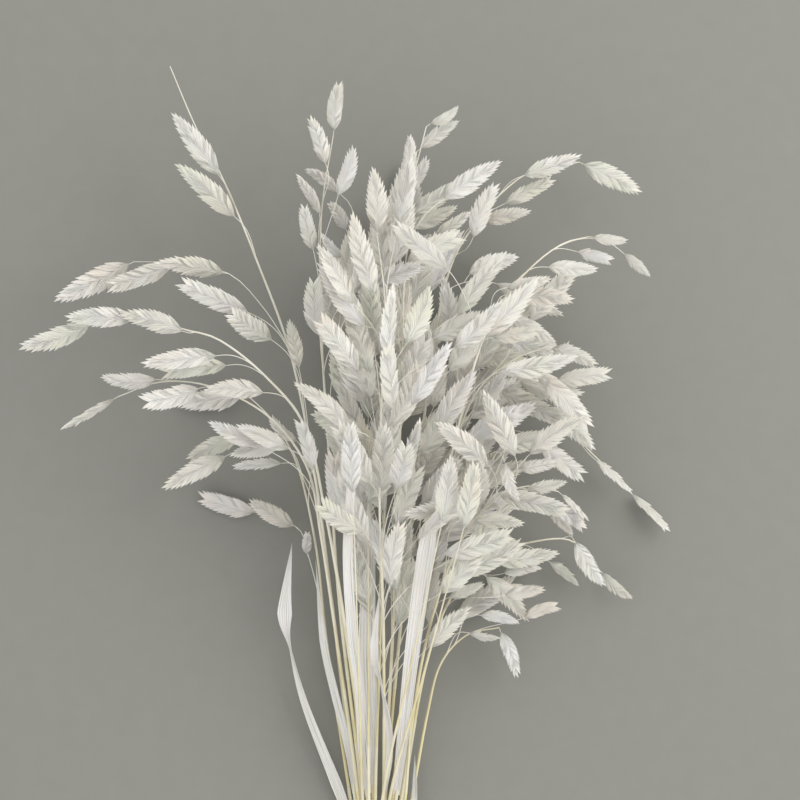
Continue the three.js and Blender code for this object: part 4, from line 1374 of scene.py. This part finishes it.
# The line above lightens the open edge: its own paler colour and a painted highlight.
oat_finish.set(
    base_color=colour,
    roughness=0.62 - nerves * 0.08 + floret_tint * 0.1,
    normal=oat_finish.bump(nerves * 0.6 + blotches * 0.4, 0.00012),
    subsurface_weight=0.5,
    subsurface_radius=(1, 0.95, 0.9),
    subsurface_scale=0.0015,
    sheen_weight=0.15,
)

floret = model_floret()
floret_points = np.array([point.co[:] for point in floret.data.vertices])
floret_shape = [tuple(polygon.vertices) for polygon in floret.data.polygons]
floret_uvs = corners(floret.data, "UVMap")

chance = np.random.default_rng(OAT_SEED)


def make_head(name, hung):
    """The florets of some oats, as one piece."""
    points, faces, oat_tints, floret_tints, places = [], [], [], [], []
    for oat in hung:
        oat_tint = chance.uniform()
        for tip, grown in grow_florets(oat, chance):
            start = len(points) * len(floret_points)
            points.append(grown * MM)
            faces.extend([tuple(start + corner for corner in face) for face in floret_shape])
            oat_tints.extend([oat_tint] * len(grown))
            floret_tints.extend([chance.uniform()] * len(grown))
            places.extend([tip] * len(grown))
    mesh = bpy.data.meshes.new(name)
    mesh.from_pydata(np.vstack(points), [], faces)
    mesh.uv_layers.new(name="UVMap").data.foreach_set("uv", np.tile(floret_uvs, (len(points), 1)).ravel())
    for attribute, values in (("oat_tint", oat_tints), ("floret_tint", floret_tints), ("oat_place", places)):
        mesh.attributes.new(attribute, "FLOAT", "POINT").data.foreach_set("value", values)
    mesh.materials.append(oat_finish.material)
    head = bpy.data.objects.new(name, mesh)
    bpy.context.collection.objects.link(head)
    work_on(head)
    bpy.ops.object.shade_smooth_by_angle(angle=FLORET_CREASE_ANGLE)
    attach(head, "root")
    return head


for index, hung in enumerate(oats):
    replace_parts(make_head(f"oats_{index + 1:02}", hung), f"leafy_stem_{index + 1:02}")
for number, hung in more_oats.items():
    make_head(f"more_oats_{number:02}", hung)
bpy.data.objects.remove(floret)

# The surface and the light. The bunch lies on a plain pale matt board. It is lit by a soft even sky and by
# one large soft lamp from the upper right.
BOARD_SIZE = 10000
BOARD_COLOURS = (0.22, 0.221, 0.201), (0.24, 0.24, 0.221)
SKY_COLOUR = (1, 0.993, 0.98)
SKY_STRENGTH = 1.085
LAMP_PLACE = (900, 650, 950)
LAMP_AIM = (10, 280, 0)
LAMP_WIDTH = 1000
LAMP_POWER = 7.2
LAMP_COLOUR = (1, 0.975, 0.93)

bpy.ops.mesh.primitive_plane_add(size=BOARD_SIZE * MM, location=(0, 0, 0))
floor = bpy.context.object
floor.name = "floor"
floor_finish = Finish("plain board")
grain = floor_finish.noise(floor_finish.place(), 90, 4)
floor_finish.set(
    base_color=floor_finish.mix(grain, *BOARD_COLOURS),
    roughness=0.85 + grain * 0.1,
)
floor.data.materials.append(floor_finish.material)

world = bpy.data.worlds.new("studio")
bpy.context.scene.world = world
world.use_nodes = True
sky = world.node_tree.nodes["Background"]
sky.inputs["Color"].default_value = (*SKY_COLOUR, 1)
sky.inputs["Strength"].default_value = SKY_STRENGTH
glow = bpy.data.lights.new("lamp", "AREA")
glow.shape = "DISK"
glow.size = LAMP_WIDTH * MM
glow.energy = LAMP_POWER
glow.color = LAMP_COLOUR
lamp = bpy.data.objects.new("lamp", glow)
lamp.location = [value * MM for value in LAMP_PLACE]
aim = np.subtract(LAMP_AIM, LAMP_PLACE)
lean = math.acos(-aim[2] / math.sqrt(aim @ aim))
lamp.rotation_euler = (lean, 0, math.atan2(-aim[1], -aim[0]) + math.pi / 2)
bpy.context.collection.objects.link(lamp)
bpy.context.scene.view_settings.view_transform = "Standard"
